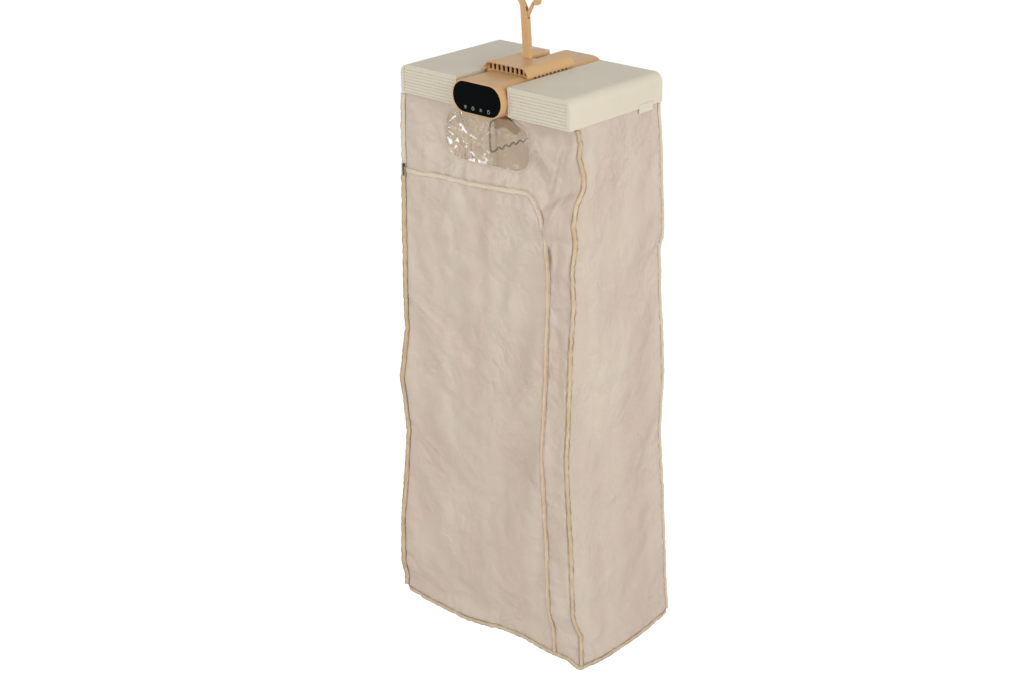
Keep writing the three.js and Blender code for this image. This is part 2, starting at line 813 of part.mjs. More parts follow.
function railBracket(side) {
  const front = railPostFront + 3;
  const outline = new THREE.Shape();
  outline.moveTo(-front, railTopZ);
  outline.lineTo(-railPostFront, railTopZ);
  outline.lineTo(-railPostFront, coreFloorZ - seatGap);
  outline.lineTo(-railPostRear, coreFloorZ - seatGap);
  outline.lineTo(-railPostRear, railTopZ);
  outline.lineTo(-railBendY, railTopZ);
  outline.lineTo(-railEndY + 4, railTopZ - railEndDrop - 4);
  outline.lineTo(-railEndY - 8, railTopZ - railEndDrop - 14);
  outline.lineTo(-railBendY - 8, railTopZ - railBracketDepth);
  outline.lineTo(-front, railTopZ - railBracketDepth);
  outline.closePath();
  const plate = alongX(outline, -railBracketWidth / 2, railBracketWidth / 2);
  const clear = bar(railRoute(), railRadius + seatGap, 8);
  const seated = cut(plate, clear);
  return side < 0 ? seated : seated.rotate([0, 0, 180]);
}

add(core, 'rail_bracket_front', railBracket(-1), 'tan');
add(core, 'rail_bracket_rear', railBracket(1), 'tan');
add(core, 'garment_rail', bar(railRoute(), railRadius, 8), 'steel');

// ---------------------------------------------------------------- hook
/** The left or right edge of the stem at a height. */
const stemEdge = (side, z) => side * stemWidth / 2 - stemLean * (z - hookPivotZ);

function hookOutline() {
  const foot = hookPivotZ - hookThickness / 2;
  const innerEnd = hookCentreX - hookInnerRadius;
  const outer = hookInnerRadius + hookBandWidth;
  const outerEnd = hookCentreX - outer;
  const tip = hookInnerRadius + hookBandWidth / 2;
  const rootZ = gatePivotZ;
  const waistZ = 138;
  const outline = new THREE.Shape();
  outline.moveTo(-stemWidth / 2, foot);
  outline.lineTo(stemWidth / 2, foot);
  outline.lineTo(stemWidth / 2, hookPivotZ);
  outline.lineTo(stemEdge(1, rootZ), rootZ);
  outline.bezierCurveTo(
    stemEdge(1, waistZ), waistZ, innerEnd, hookCentreZ - 18, innerEnd, hookCentreZ,
  );
  outline.absarc(hookCentreX, hookCentreZ, hookInnerRadius, Math.PI, hookTipAngle, true);
  outline.absarc(
    hookCentreX + tip * Math.cos(hookTipAngle), hookCentreZ + tip * Math.sin(hookTipAngle),
    hookBandWidth / 2, Math.PI + hookTipAngle, 2 * Math.PI + hookTipAngle, false,
  );
  outline.absarc(hookCentreX, hookCentreZ, outer, hookTipAngle, Math.PI, false);
  outline.bezierCurveTo(
    outerEnd, hookCentreZ - 14, stemEdge(-1, waistZ + 12) - 1, waistZ + 12,
    stemEdge(-1, waistZ), waistZ,
  );
  outline.lineTo(-stemWidth / 2, hookPivotZ);
  outline.closePath();
  return outline;
}

function hookArm() {
  const half = hookThickness / 2;
  const plate = alongY(hookOutline(), hookY - half, hookY + half, 10);
  const side = new THREE.Shape();
  side.moveTo(hookY - half, hookSeat.z + 60);
  side.lineTo(hookY - half, hookPivotZ);
  side.absarc(hookY, hookPivotZ, half, Math.PI, 2 * Math.PI, false);
  side.lineTo(hookY + half, hookSeat.z + 60);
  side.closePath();
  const slotHalf = gateThickness / 2 + seatGap;
  return cut(
    plate.intersect(alongX(side, -80, 80)),
    rod('x', hookPinRadius + seatGap, -40, 40, hookY, hookPivotZ),
    block(
      gatePivotX - gateKnuckle - runGap, 40, hookY - slotHalf, hookY + slotHalf,
      gatePivotZ - gateKnuckle - runGap, hookCentreZ - 26,
    ),
    rod('y', gatePinRadius + seatGap, hookY - 20, hookY + 20, gatePivotX, gatePivotZ, 16),
  );
}

function hookGate() {
  const reach = hookCentreX + hookInnerRadius * Math.cos(hookTipAngle);
  const top = hookCentreZ + hookInnerRadius * Math.sin(hookTipAngle) - 5;
  const outline = new THREE.Shape();
  outline.absarc(gatePivotX, gatePivotZ, gateKnuckle, 0.9 * Math.PI, 1.75 * Math.PI, false);
  outline.quadraticCurveTo(reach - 7, top - 16, reach - 3, top - 1);
  outline.absarc(reach - 5.5, top - 1, 2.5, 0, Math.PI, false);
  outline.closePath();
  const half = gateThickness / 2;
  return cut(
    alongY(outline, hookY - half, hookY + half, 8),
    rod('y', gatePinRadius + seatGap, hookY - 20, hookY + 20, gatePivotX, gatePivotZ, 16),
  );
}

const hook = new THREE.Group();
add(hook, 'hook_arm', hookArm(), 'tan');
add(hook, 'gate_pin', rod(
  'y', gatePinRadius, hookY - hookThickness / 2, hookY + hookThickness / 2,
  gatePivotX, gatePivotZ, 16,
), 'steel');
add(hook, 'hook_gate', hookGate(), 'tan');
const pinReach = stemWidth / 2 + 1 + earThickness;
add(core, 'hook_pivot_pin', rod('x', hookPinRadius, -pinReach, pinReach, hookY, hookPivotZ), 'steel');

// ---------------------------------------------------------------- wings
/** A wing's section in X and Z: flat top and a rounded outer edge, set in by four amounts. */
function wingSection(inner, outer, top, foot) {
  const radius = wingEdgeRadius - Math.min(outer, wingEdgeRadius - 1);
  const x1 = wingHalfSpan - outer;
  const outline = new THREE.Shape();
  outline.moveTo(wingInner + inner, -wingHeight + foot);
  outline.lineTo(x1, -wingHeight + foot);
  outline.lineTo(x1, -top - radius);
  outline.absarc(x1 - radius, -top - radius, radius, 0, Math.PI / 2, false);
  outline.lineTo(wingInner + inner, -top);
  outline.closePath();
  return outline;
}

function hingeArm(y) {
  const outline = new THREE.Shape();
  outline.absarc(hingeX, coreMidZ, armRadius, Math.PI / 2, 1.5 * Math.PI, false);
  outline.lineTo(wingInner + wingWall, coreMidZ - armRadius);
  outline.lineTo(wingInner + wingWall, coreMidZ + armRadius);
  outline.closePath();
  return cut(
    alongY(outline, y - armWidth / 2, y + armWidth / 2, 8),
    rod('y', hingePinRadius + seatGap, y - 20, y + 20, hingeX, coreMidZ),
  );
}

function wingShell() {
  const y = wingHalfDepth;
  const shell = cut(
    alongY(wingSection(0, 0, 0, 0), -y, y),
    alongY(wingSection(wingWall, wingWall, wingWall, -5), -y + wingWall, y - wingWall),
  );
  const opening = wingSection(panelRim, panelEndRim, panelRim, panelRim);
  const stiffeners = [-1, 0, 1].map((i) => block(
    wingInner + 1, wingHalfSpan - wingEdgeRadius, i * stiffenerPitch - stiffenerWidth / 2,
    i * stiffenerPitch + stiffenerWidth / 2, -wingWall - stiffenerHeight, -1,
  ));
  const tabNotch = block(
    wingHalfSpan - wingWall - 1, wingHalfSpan + 1, tabNear - seatGap - 0.2, tabFar + seatGap + 0.2,
    -wingHeight - 1, -wingHeight - tabDrop + tabHeight + seatGap + 0.2,
  );
  return cut(
    join(shell, ...stiffeners, hingeArm(-armOffset), hingeArm(armOffset)),
    alongY(opening, -y - 1, -y + 8),
    alongY(opening, y - 8, y + 1),
    tabNotch,
  );
}

/** A ribbed panel that fills the opening in a wing's front or rear end. */
function ribbedPanel(side) {
  const inset = seatGap;
  const section = wingSection(
    panelRim + inset, panelEndRim + inset, panelRim + inset, panelRim + inset,
  );
  const outer = wingHalfDepth - panelRecess;
  const plate = alongY(section, outer - panelThickness, outer);
  const top = -panelRim - inset;
  const span = wingHeight - 2 * (panelRim + inset);
  const count = Math.round(span / groovePitch) - 1;
  const grooves = [];
  for (let i = 0; i < count; i += 1) {
    const z = top - (i + 1) * span / (count + 1);
    grooves.push(block(
      wingInner, wingHalfSpan, outer - grooveDepth, outer + 1,
      z - grooveWidth / 2, z + grooveWidth / 2,
    ));
  }
  const panel = cut(plate, ...grooves);
  return side > 0 ? panel : panel.mirror([0, 1, 0]);
}

function bagRail() {
  const x1 = wingHalfSpan - wingWall - seatGap;
  const x0 = wingInner + wingWall + runGap;
  const y1 = wingHalfDepth - Math.max(wingWall, panelRecess + panelThickness) - seatGap;
  const z0 = -wingHeight + bagRailLift;
  const z1 = z0 + bagRailHeight;
  return cut(
    block(x0, x1, -y1, y1, z0, z1),
    block(x0 - 1, x1 - bagRailWidth, -y1 + bagRailWidth, y1 - bagRailWidth, z0 - 1, z1 + 1),
  );
}

function latchTab() {
  const x1 = wingHalfSpan;
  const x0 = x1 - tabThickness + seatGap;
  const z0 = -wingHeight - tabDrop;
  const plate = block(x0, x1, tabNear, tabFar, z0, z0 + tabHeight);
  const bead = rod('y', 1.6, tabNear, tabFar, x0 + 1, z0 + 1.6, 12);
  return join(plate, bead);
}

function wing(name) {
  const group = new THREE.Group();
  add(group, `${name}_wing_shell`, wingShell(), 'cream');
  add(group, `${name}_wing_front_panel`, ribbedPanel(name === 'left' ? 1 : -1), 'cream');
  add(group, `${name}_wing_rear_panel`, ribbedPanel(name === 'left' ? -1 : 1), 'cream');
  add(group, `${name}_bag_rail`, bagRail(), 'cream');
  add(group, `${name}_latch_tab`, latchTab(), 'cream');
  return group;
}

const rightWing = wing('right');
const leftWing = wing('left');
leftWing.rotation.z = Math.PI; // the same mouldings, turned end for end

// ---------------------------------------------------------------- bag
const bagLean = bagFlare / bagHeight;
/** How far the bag's side stands out beyond its top edge, at a height. */
const bagOut = (z) => bagLean * (bagTop - z);

/** The space inside a bag face, inset from the outer face, with one pair of sides left open. */
function bagSpace(insetX, insetY, top, foot) {
  const half = (z) => ({
    x: bagTopX + bagOut(z) - insetX, y: bagTopY + bagOut(z) - insetY, z,
  });
  return taperedBlock(half(top), half(foot));
}

/** The line of one corner seam, at a height. */
function cornerAt(sideX, sideY, z) {
  return new THREE.Vector3(sideX * (bagTopX + bagOut(z)), sideY * (bagTopY + bagOut(z)), z);
}

const cornerTop = -wingHeight - runGap;
function cornerBinding(sideX, sideY, extra) {
  return strut(
    cornerAt(sideX, sideY, cornerTop + extra), cornerAt(sideX, sideY, footTop + seatGap - extra),
    bindingSize + 2 * extra,
  );
}

const corners = [[-1, -1], [1, -1], [-1, 1], [1, 1]];
const seamRoom = () => corners.map(([x, y]) => cut(
  strut(cornerAt(x, y, bagTop + 5), cornerAt(x, y, bagBottom), bindingSize + 2 * seatGap),
));
const wallFoot = footTop + seatGap;

/** One wall of the bag, from the top hem to the foot, clear of the corner seams. */
function bagWall(axis, side) {
  const far = 400;
  const outer = bagSpace(0, 0, bagTop, wallFoot);
  const inner = axis === 'x'
    ? bagSpace(fabric, -far, bagTop + 1, wallFoot - 1)
    : bagSpace(-far, fabric, bagTop + 1, wallFoot - 1);
  const keep = axis === 'x'
    ? block(side < 0 ? -far : 0, side < 0 ? 0 : far, -far, far, bagBottom - 1, 0)
    : block(-far, far, side < 0 ? -far : 0, side < 0 ? 0 : far, bagBottom - 1, 0);
  return cut(cut(outer, inner).intersect(keep), ...seamRoom());
}

/** Cuts the bag's front and rear walls free of the core between the wings. */
const coreNotch = () => block(
  -wingInner - wingWall - runGap, wingInner + wingWall + runGap, -300, 300,
  coreFloorZ - bagFrontNotch, 20,
);

/** The door's outline in X and Z; extra makes it larger. */
function doorOutline(extra, left) {
  const top = doorTop + extra;
  const right = doorRight + extra;
  const foot = doorBottom - extra;
  const outline = new THREE.Shape();
  outline.moveTo(left, foot);
  outline.lineTo(right, foot);
  outline.lineTo(right, top - doorCorner);
  outline.absarc(right - doorCorner, top - doorCorner, doorCorner, 0, Math.PI / 2, false);
  outline.lineTo(left, top);
  outline.closePath();
  return outline;
}

/** The window's outline in X and Z, with a round lower edge; extra makes it larger. */
function windowOutline(extra) {
  const half = windowHalfWidth + extra;
  const top = windowTop + extra;
  const foot = windowBottom - extra;
  const radius = windowRadius + extra;
  const outline = new THREE.Shape();
  outline.moveTo(-half, top);
  outline.lineTo(-half, foot + radius);
  outline.absarc(-half + radius, foot + radius, radius, Math.PI, 1.5 * Math.PI, false);
  outline.absarc(half - radius, foot + radius, radius, 1.5 * Math.PI, 2 * Math.PI, false);
  outline.lineTo(half, top);
  outline.closePath();
  return outline;
}

/** A flat piece that lies on the front wall's outside, between two depths from it. */
function onFront(body, near, far) {
  const band = cut(
    bagSpace(0, -far, bagTop, wallFoot), bagSpace(-400, -near, bagTop + 1, wallFoot - 1),
  ).intersect(block(-400, 400, -400, 0, bagBottom - 1, 0));
  return body.intersect(band);
}

/** The zip's tape and teeth: the strip just outside the door's outline, in X and Z. */
function zipTrack() {
  const wide = alongY(doorOutline(doorGap + zipWidth, -400), -400, 0);
  const narrow = alongY(doorOutline(doorGap, -500), -401, 1);
  return cut(wide, narrow);
}

const zipSplitZ = doorTop - doorCorner;
const zipLeft = -(bagTopX + bagOut(doorTop)) + bindingSize / 2 + seatGap;
const sliderZ = doorTop + doorGap + zipWidth / 2;
const sliderBack = -(bagTopY + bagOut(sliderZ)) - bindingSize / 2 - 0.4;

const bag = new THREE.Group();
const frontWall = cut(bagWall('y', -1), coreNotch());
add(bag, 'bag_back', cut(bagWall('y', 1), coreNotch()), 'fabric');
add(bag, 'bag_left_side', bagWall('x', -1), 'fabric');
add(bag, 'bag_right_side', bagWall('x', 1), 'fabric');
add(bag, 'bag_front_surround', cut(
  frontWall,
  alongY(doorOutline(doorGap, -400), -400, 0),
  alongY(windowOutline(seatGap), -400, 0),
), 'fabric');
add(bag, 'bag_window', frontWall.intersect(alongY(windowOutline(0), -400, 0)), 'clearFilm');
add(bag, 'bag_bottom', bagSpace(
  footBinding / 2 + seatGap, footBinding / 2 + seatGap, footTop - 3, footTop - 3 - fabric,
), 'fabric');
add(bag, 'bottom_binding', cut(
  bagSpace(-footBinding / 2, -footBinding / 2, footTop, bagBottom),
  bagSpace(footBinding / 2, footBinding / 2, footTop + 1, bagBottom - 1),
), 'binding');
for (const [sideX, sideY] of corners) {
  const name = `${sideY < 0 ? 'front' : 'rear'}_${sideX < 0 ? 'left' : 'right'}_binding`;
  add(bag, name, cornerBinding(sideX, sideY, 0), 'binding');
}
const track = onFront(zipTrack(), seatGap, seatGap + zipThickness);
add(bag, 'zip_track_top', track.intersect(block(
  zipLeft, 400, -400, 400, zipSplitZ + seatGap / 2, 0,
)), 'binding');
add(bag, 'zip_track_side', track.intersect(block(
  0, 400, -400, 400, doorBottom - doorGap - zipWidth, zipSplitZ - seatGap / 2,
)), 'binding');

const door = new THREE.Group();
add(door, 'bag_door', frontWall.intersect(alongY(doorOutline(0, -400), -400, 0)), 'fabric');
bag.add(door);

function zipSlider() {
  const half = sliderWidth / 2;
  const body = block(
    -half, half, -sliderThickness, 0, -sliderHeight / 2, sliderHeight / 2,
  );
  const bridge = block(-0.8, 0.8, -sliderThickness - 2.4, -sliderThickness + 0.5, -3, 3);
  const eye = block(-2, 2, -sliderThickness - 1.5, -sliderThickness - 0.1, -2, 2);
  return cut(join(body, bridge), eye);
}

function zipPull() {
  const half = sliderWidth / 2;
  const ringTop = 1.4;
  const back = -sliderThickness - 1.3;
  const plate = block(-half, half, back, back + 1, -pullLength, ringTop);
  const eye = block(-1.3, 1.3, back - 1, back + 3, -5, ringTop - 0.9);
  return cut(plate, eye);
}

const zip = new THREE.Group();
zip.position.set(sliderX, sliderBack, sliderZ);
add(zip, 'zip_slider', zipSlider(), 'steel');
add(zip, 'zip_pull', zipPull(), 'steel');
bag.add(zip);

// ---------------------------------------------------------------- whole dryer
const dryer = new THREE.Group();
dryer.add(core, hook, rightWing, leftWing, bag);
dryer.position.copy(hookSeat).negate();

const part = new THREE.Group();
part.add(dryer);

export default part;
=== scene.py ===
"""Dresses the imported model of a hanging, folding clothes dryer for a studio picture.

The rigid pieces keep their shapes and get their finishes here. The fabric bag, its window, its
bindings and its zip are modelled here as cloth, in place of the plain solids. Metres, +Z up.
"""

import json
import logging
import math
from dataclasses import dataclass, field
from enum import Enum, IntEnum
from functools import reduce

import bmesh
import bpy
import numpy as np
from mathutils import Matrix, Vector, noise
from mathutils.kdtree import KDTree

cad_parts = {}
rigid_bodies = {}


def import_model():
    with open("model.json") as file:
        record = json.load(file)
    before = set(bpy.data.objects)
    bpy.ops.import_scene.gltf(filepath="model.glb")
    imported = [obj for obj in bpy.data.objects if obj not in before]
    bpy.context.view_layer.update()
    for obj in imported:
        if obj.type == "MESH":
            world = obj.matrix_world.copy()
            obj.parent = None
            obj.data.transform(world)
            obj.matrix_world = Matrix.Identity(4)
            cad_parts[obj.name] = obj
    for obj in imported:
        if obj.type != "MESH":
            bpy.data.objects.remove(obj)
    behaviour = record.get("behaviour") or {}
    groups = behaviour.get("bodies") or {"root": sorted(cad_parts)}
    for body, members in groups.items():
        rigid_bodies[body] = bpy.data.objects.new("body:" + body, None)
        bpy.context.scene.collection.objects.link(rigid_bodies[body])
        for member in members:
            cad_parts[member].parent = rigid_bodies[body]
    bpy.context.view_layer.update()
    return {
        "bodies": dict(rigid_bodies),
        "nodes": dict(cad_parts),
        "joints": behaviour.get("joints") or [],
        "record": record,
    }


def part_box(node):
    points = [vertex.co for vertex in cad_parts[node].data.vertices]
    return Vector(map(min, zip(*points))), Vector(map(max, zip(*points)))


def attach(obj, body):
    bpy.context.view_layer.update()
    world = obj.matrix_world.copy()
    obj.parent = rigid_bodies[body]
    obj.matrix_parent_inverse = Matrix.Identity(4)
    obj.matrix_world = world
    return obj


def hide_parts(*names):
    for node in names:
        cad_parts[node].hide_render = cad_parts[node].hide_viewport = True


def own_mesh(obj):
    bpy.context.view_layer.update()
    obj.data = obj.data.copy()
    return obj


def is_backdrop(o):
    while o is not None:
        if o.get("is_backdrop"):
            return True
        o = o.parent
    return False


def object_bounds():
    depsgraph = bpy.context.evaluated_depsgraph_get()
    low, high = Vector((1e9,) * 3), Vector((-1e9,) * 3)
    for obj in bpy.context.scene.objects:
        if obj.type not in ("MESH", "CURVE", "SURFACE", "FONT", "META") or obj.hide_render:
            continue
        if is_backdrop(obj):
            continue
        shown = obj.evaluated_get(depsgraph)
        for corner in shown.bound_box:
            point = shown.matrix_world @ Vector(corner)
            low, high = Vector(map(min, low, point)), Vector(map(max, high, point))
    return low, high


log = logging.getLogger("dryer")

Colour = tuple[float, float, float, float]
Socket = bpy.types.NodeSocket
Table = tuple[tuple[float, ...], ...]

DECK = Vector((-0.006, 0.004, -0.186))  # the middle of the wings' flat top, from the hook's seat
FORWARD = np.array((0.0, -1.0, 0.0))
SIDES = ("left", "right")


def linear(red: float, green: float, blue: float) -> Colour:
    """Turns a screen colour, each channel 0 to 255, into the linear colour that shaders use."""
    shares = (value / 255 for value in (red, green, blue))
    return *(s / 12.92 if s <= 0.04045 else ((s + 0.055) / 1.055) ** 2.4 for s in shares), 1.0


def shade(colour: Colour, factor: float) -> Colour:
    """Returns a colour made lighter or darker by a factor."""
    return tuple(min(1.0, c * factor) for c in colour[:3]) + (1.0,)


def metres(*rows: tuple[float, ...]) -> Table:
    """Returns a table that is given in millimetres in metres."""
    return tuple(tuple(value / 1000 for value in row) for row in rows)


def read_off(table: Table, at: float, column: int = 1) -> float:
    """Reads a table between its rows.

    Args:
        table: Its rows, each starting with where it stands.
        at: Where to read.
        column: Which value of the rows to read.

    Returns:
        The value.
    """
    way = 1 if table[0][0] < table[-1][0] else -1
    return float(np.interp(way * at, [way * row[0] for row in table], [row[column] for row in table]))


# ------------------------------------------------------------------------------- materials
class NodeBoard:
    """A material's or the world's node tree, with short calls for what the finishes need."""

    def __init__(self, owner: bpy.types.Material | bpy.types.World) -> None:
        """Empties a new material's or world's node tree."""
        owner.use_nodes = True
        self.owner = owner
        self.tree = owner.node_tree
        self.tree.nodes.clear()
        self.output = self.add("OutputWorld" if isinstance(owner, bpy.types.World) else "OutputMaterial")

    def feed(self, socket: Socket, value: object) -> None:
        """Links an input to another node's output, or sets it to a constant."""
        if isinstance(value, Socket):
            self.tree.links.new(value, socket)
        else:
            socket.default_value = value

    def add(self, kind: str, *inputs: object, **values: object) -> bpy.types.Node:
        """Adds a node.

        Args:
            kind: The node's type, without its ShaderNode in front.
            inputs: What its first inputs get.
            values: Settings, or inputs by name with spaces as underscores.

        Returns:
            The new node.
        """
        node = self.tree.nodes.new("ShaderNode" + kind)
        for key, value in values.items():
            if hasattr(node, key):
                setattr(node, key, value)
            else:
                self.feed(node.inputs[key.replace("_", " ")], value)
        for socket, value in zip(node.inputs, inputs):
            self.feed(socket, value)
        return node

    def coordinates(self, scale: tuple[float, float, float] = (1, 1, 1), uv: bool = False) -> Socket:
        """Returns the piece's coordinates, or the cloth's own map, stretched along each axis."""
        place = self.add("TexCoord").outputs["UV" if uv else "Object"]
        return self.add("Mapping", Vector=place, Scale=scale).outputs["Vector"]

    def axis(self, vector: Socket, letter: str) -> Socket:
        """Returns one axis of a vector."""
        return self.add("SeparateXYZ", Vector=vector).outputs[letter]

    def noise(self, vector: Socket, scale: float, detail: float = 3.0, roughness: float = 0.5,
              distortion: float = 0.0) -> Socket:
        """Returns cloudy noise from 0 to 1."""
        return self.add(
            "TexNoise", Vector=vector, Scale=scale, Detail=detail, Roughness=roughness, Distortion=distortion,
        ).outputs["Fac"]

    def ridges(self, vector: Socket, scale: float, detail: float, lacunarity: float) -> Socket:
        """Returns noise with sharp crests."""
        return self.add(
            "TexNoise", noise_type="RIDGED_MULTIFRACTAL", Vector=vector, Scale=scale, Detail=detail,
            Roughness=0.5, Lacunarity=lacunarity, Offset=0.9, Gain=1.6,
        ).outputs["Fac"]

    def facets(self, vector: Socket, scale: float, width: float, height: float = 1.0) -> Socket:
        """Returns flat facets that rise to a height within a width of their edges."""
        cells = self.add("TexVoronoi", feature="DISTANCE_TO_EDGE", Vector=vector, Scale=scale)
        return self.spread(cells.outputs["Distance"], 0.0, width, 0.0, height)

    def warped(self, vector: Socket, scale: float, detail: float, amount: float) -> Socket:
        """Returns coordinates bent a little, so that no pattern runs straight."""
        drift = self.add("TexNoise", Vector=vector, Scale=scale, Detail=detail).outputs["Color"]
        shift = self.add("VectorMath", drift, operation="SCALE", Scale=amount).outputs[0]
        return self.add("VectorMath", vector, shift, operation="ADD").outputs[0]

    def spread(self, value: Socket, low: float, high: float, to_low: float = 0.0,
               to_high: float = 1.0) -> Socket:
        """Stretches a band of a value over another range, clamped."""
        return self.add(
            "MapRange", Value=value, From_Min=low, From_Max=high, To_Min=to_low, To_Max=to_high,
        ).outputs["Result"]

    def math(self, operation: str, first: object, second: object = 0.0) -> Socket:
        """Returns a sum, product or other operation of two values."""
        return self.add("Math", first, second, operation=operation).outputs[0]

    def product(self, *factors: object) -> Socket:
        """Returns the product of several values."""
        return reduce(lambda first, second: self.math("MULTIPLY", first, second), factors)

    def blend(self, share: Socket, first: object, second: object) -> Socket:
        """Mixes two colours by a share."""
        node = self.add("Mix", share, data_type="RGBA")
        colours = (s for s in node.inputs if s.type == "RGBA")
        for socket, value in zip(colours, (first, second)):
            self.feed(socket, value)
        return next(s for s in node.outputs if s.type == "RGBA")

    def bump(self, height: Socket, distance: float, strength: float = 1.0, **under: Socket) -> Socket:
        """Returns a normal bent by a height, over another Normal where one is given."""
        return self.add("Bump", Height=height, Distance=distance, Strength=strength, **under).outputs["Normal"]

    def surface(self, **values: object) -> Socket:
        """Returns a principled shader with the inputs given."""
        return self.add("BsdfPrincipled", **values).outputs["BSDF"]

    def mixed(self, share: object, first: Socket, second: Socket) -> Socket:
        """Mixes two shaders by a share."""
        return self.add("MixShader", share, first, second).outputs[0]

    def finish(self, shader: Socket) -> bpy.types.Material | bpy.types.World:
        """Joins the last shader to the output and returns the board's owner."""
        self.feed(self.output.inputs["Surface"], shader)
        return self.owner


@dataclass(frozen=True)
class Recipe:
    """What one finish is made from."""

    name: str
    colour: Colour

    def shader(self, board: NodeBoard) -> Socket:
        """Makes the finish's shader on a board.

        Args:
            board: The new material's board.

        Returns:
            The last shader's socket.
        """
        raise NotImplementedError

    def material(self) -> bpy.types.Material:
        """Returns the finish's material, made once."""
        made = bpy.data.materials.get(self.name)
        if made is None:
            board = NodeBoard(bpy.data.materials.new(self.name))
            made = board.finish(self.shader(board))
        return made


@dataclass(frozen=True)
class MouldedPlastic(Recipe):
    """Injection-moulded plastic with a fine satin grain."""

    roughness: float = 0.45
    grain: float = 0.00003  # how high it stands
    mottle: float = 0.03  # how much lighter and darker its clouds are

    def shader(self, board: NodeBoard) -> Socket:
        """Makes clouds, a grain, and roughness that follows the mould's flow."""
        place = board.coordinates()
        cloud = board.spread(board.noise(place, 9, 4, 0.55), 0.3, 0.7)
        grain = board.noise(place, 900, 2, 0.6)
        flow = board.noise(board.coordinates((6, 1, 30)), 3)
        rough = (self.roughness - 0.06, self.roughness + 0.06)
        return board.surface(
            Base_Color=board.blend(cloud, *(shade(self.colour, 1 + s * self.mottle) for s in (-1, 1))),
            Roughness=board.spread(board.math("ADD", grain, flow), 0.7, 1.3, *rough),
            Normal=board.bump(grain, self.grain), Specular_IOR_Level=0.4,
        )


@dataclass(frozen=True)
class GlossLens(Recipe):
    """The black touch panel's hard clear lens."""

    def shader(self, board: NodeBoard) -> Socket:
        """Makes a gloss with faint smears."""
        smear = board.spread(board.noise(board.coordinates(), 60, 4, 0.6), 0.3, 0.7, 0.05, 0.11)
        return board.surface(Base_Color=self.colour, Roughness=smear, Specular_IOR_Level=0.04)


@dataclass(frozen=True)
class Metal(Recipe):
    """Drawn or cast metal with fine lines along one axis."""

    roughness: float
    lines: tuple[float, float, float] = (1.0, 1.0, 1.0)

    def shader(self, board: NodeBoard) -> Socket:
        """Makes streaks that are darker and smoother in turn."""
        streak = board.noise(board.coordinates(self.lines), 300, 3, 0.6)
        tints = (shade(self.colour, 0.85), shade(self.colour, 1.1))
        return board.surface(
            Metallic=1.0, Base_Color=board.blend(board.spread(streak, 0.3, 0.7), *tints),
            Roughness=board.spread(streak, 0.3, 0.7, self.roughness - 0.07, self.roughness + 0.08),
            Normal=board.bump(streak, 0.00002),
        )


@dataclass(frozen=True)
class CircuitBoard(Recipe):
    """Green laminate with faint copper traces."""

    def shader(self, board: NodeBoard) -> Socket:
        """Makes square traces on the laminate."""
        cells = board.add("TexVoronoi", Vector=board.coordinates(), Scale=160, distance="MANHATTAN")
        trace = board.spread(cells.outputs["Distance"], 0.42, 0.5)
        tint = board.blend(trace, self.colour, shade(self.colour, 1.8))
        return board.surface(Base_Color=tint, Roughness=0.35)


@dataclass(frozen=True)
class BagFabric(Recipe):
    """Thin, slightly see-through woven nylon with crumpled creases, sandy and rosy by turns."""

    rosy: Colour
    through: float = 0.30
    weave: float = 1500.0
    crease_depth: float = 0.0030

    def creases(self, board: NodeBoard, cloth: Socket) -> Socket:
        """Returns the height of the sharp creases and the soft ripples between them."""
        bent = board.warped(cloth, 7, 2, 0.09)
        large, small = board.facets(bent, 13, 0.4, 0.8), board.facets(bent, 37, 0.4, 0.4)
        patch = board.spread(board.noise(cloth, 4, 3), 0.42, 0.6, 0.1, 1.0)
        fine = board.math("ADD", small, board.product(board.ridges(bent, 17, 3, 2.1), 0.3))
        folds = board.math("ADD", large, board.product(fine, patch))
        ripple = board.noise(board.coordinates((1, 0.3, 1), uv=True), 17, 1.5, 0.5, 0.4)
        return board.math("ADD", folds, board.product(ripple, 0.6))

    def shader(self, board: NodeBoard) -> Socket:
        """Makes the woven front and the light that comes through from behind."""
        cloth = board.coordinates(uv=True)
        threads = board.add(
            "TexChecker", Vector=cloth, Scale=self.weave, Color1=(1, 1, 1, 1), Color2=(0, 0, 0, 1),
        ).outputs["Fac"]
        normal = board.bump(self.creases(board, cloth), self.crease_depth)
        normal = board.bump(threads, 0.00004, 0.35, Normal=normal)
        bands = board.noise(board.coordinates((1, 0.12, 1), uv=True), 9)
        cloud = board.noise(cloth, 5.5, 4, 0.55)
        tone = board.math("ADD", board.product(bands, 0.6), board.product(cloud, 0.4))
        tint = board.blend(board.spread(tone, 0.4, 0.6), self.rosy, self.colour)
        front = board.surface(
            Base_Color=tint, Normal=normal, Roughness=0.5, Specular_IOR_Level=0.4,
            Sheen_Weight=0.2, Sheen_Roughness=0.4,
        )
        behind = board.add("BsdfTranslucent", Color=tint, Normal=normal).outputs[0]
        return board.mixed(self.through, front, behind)


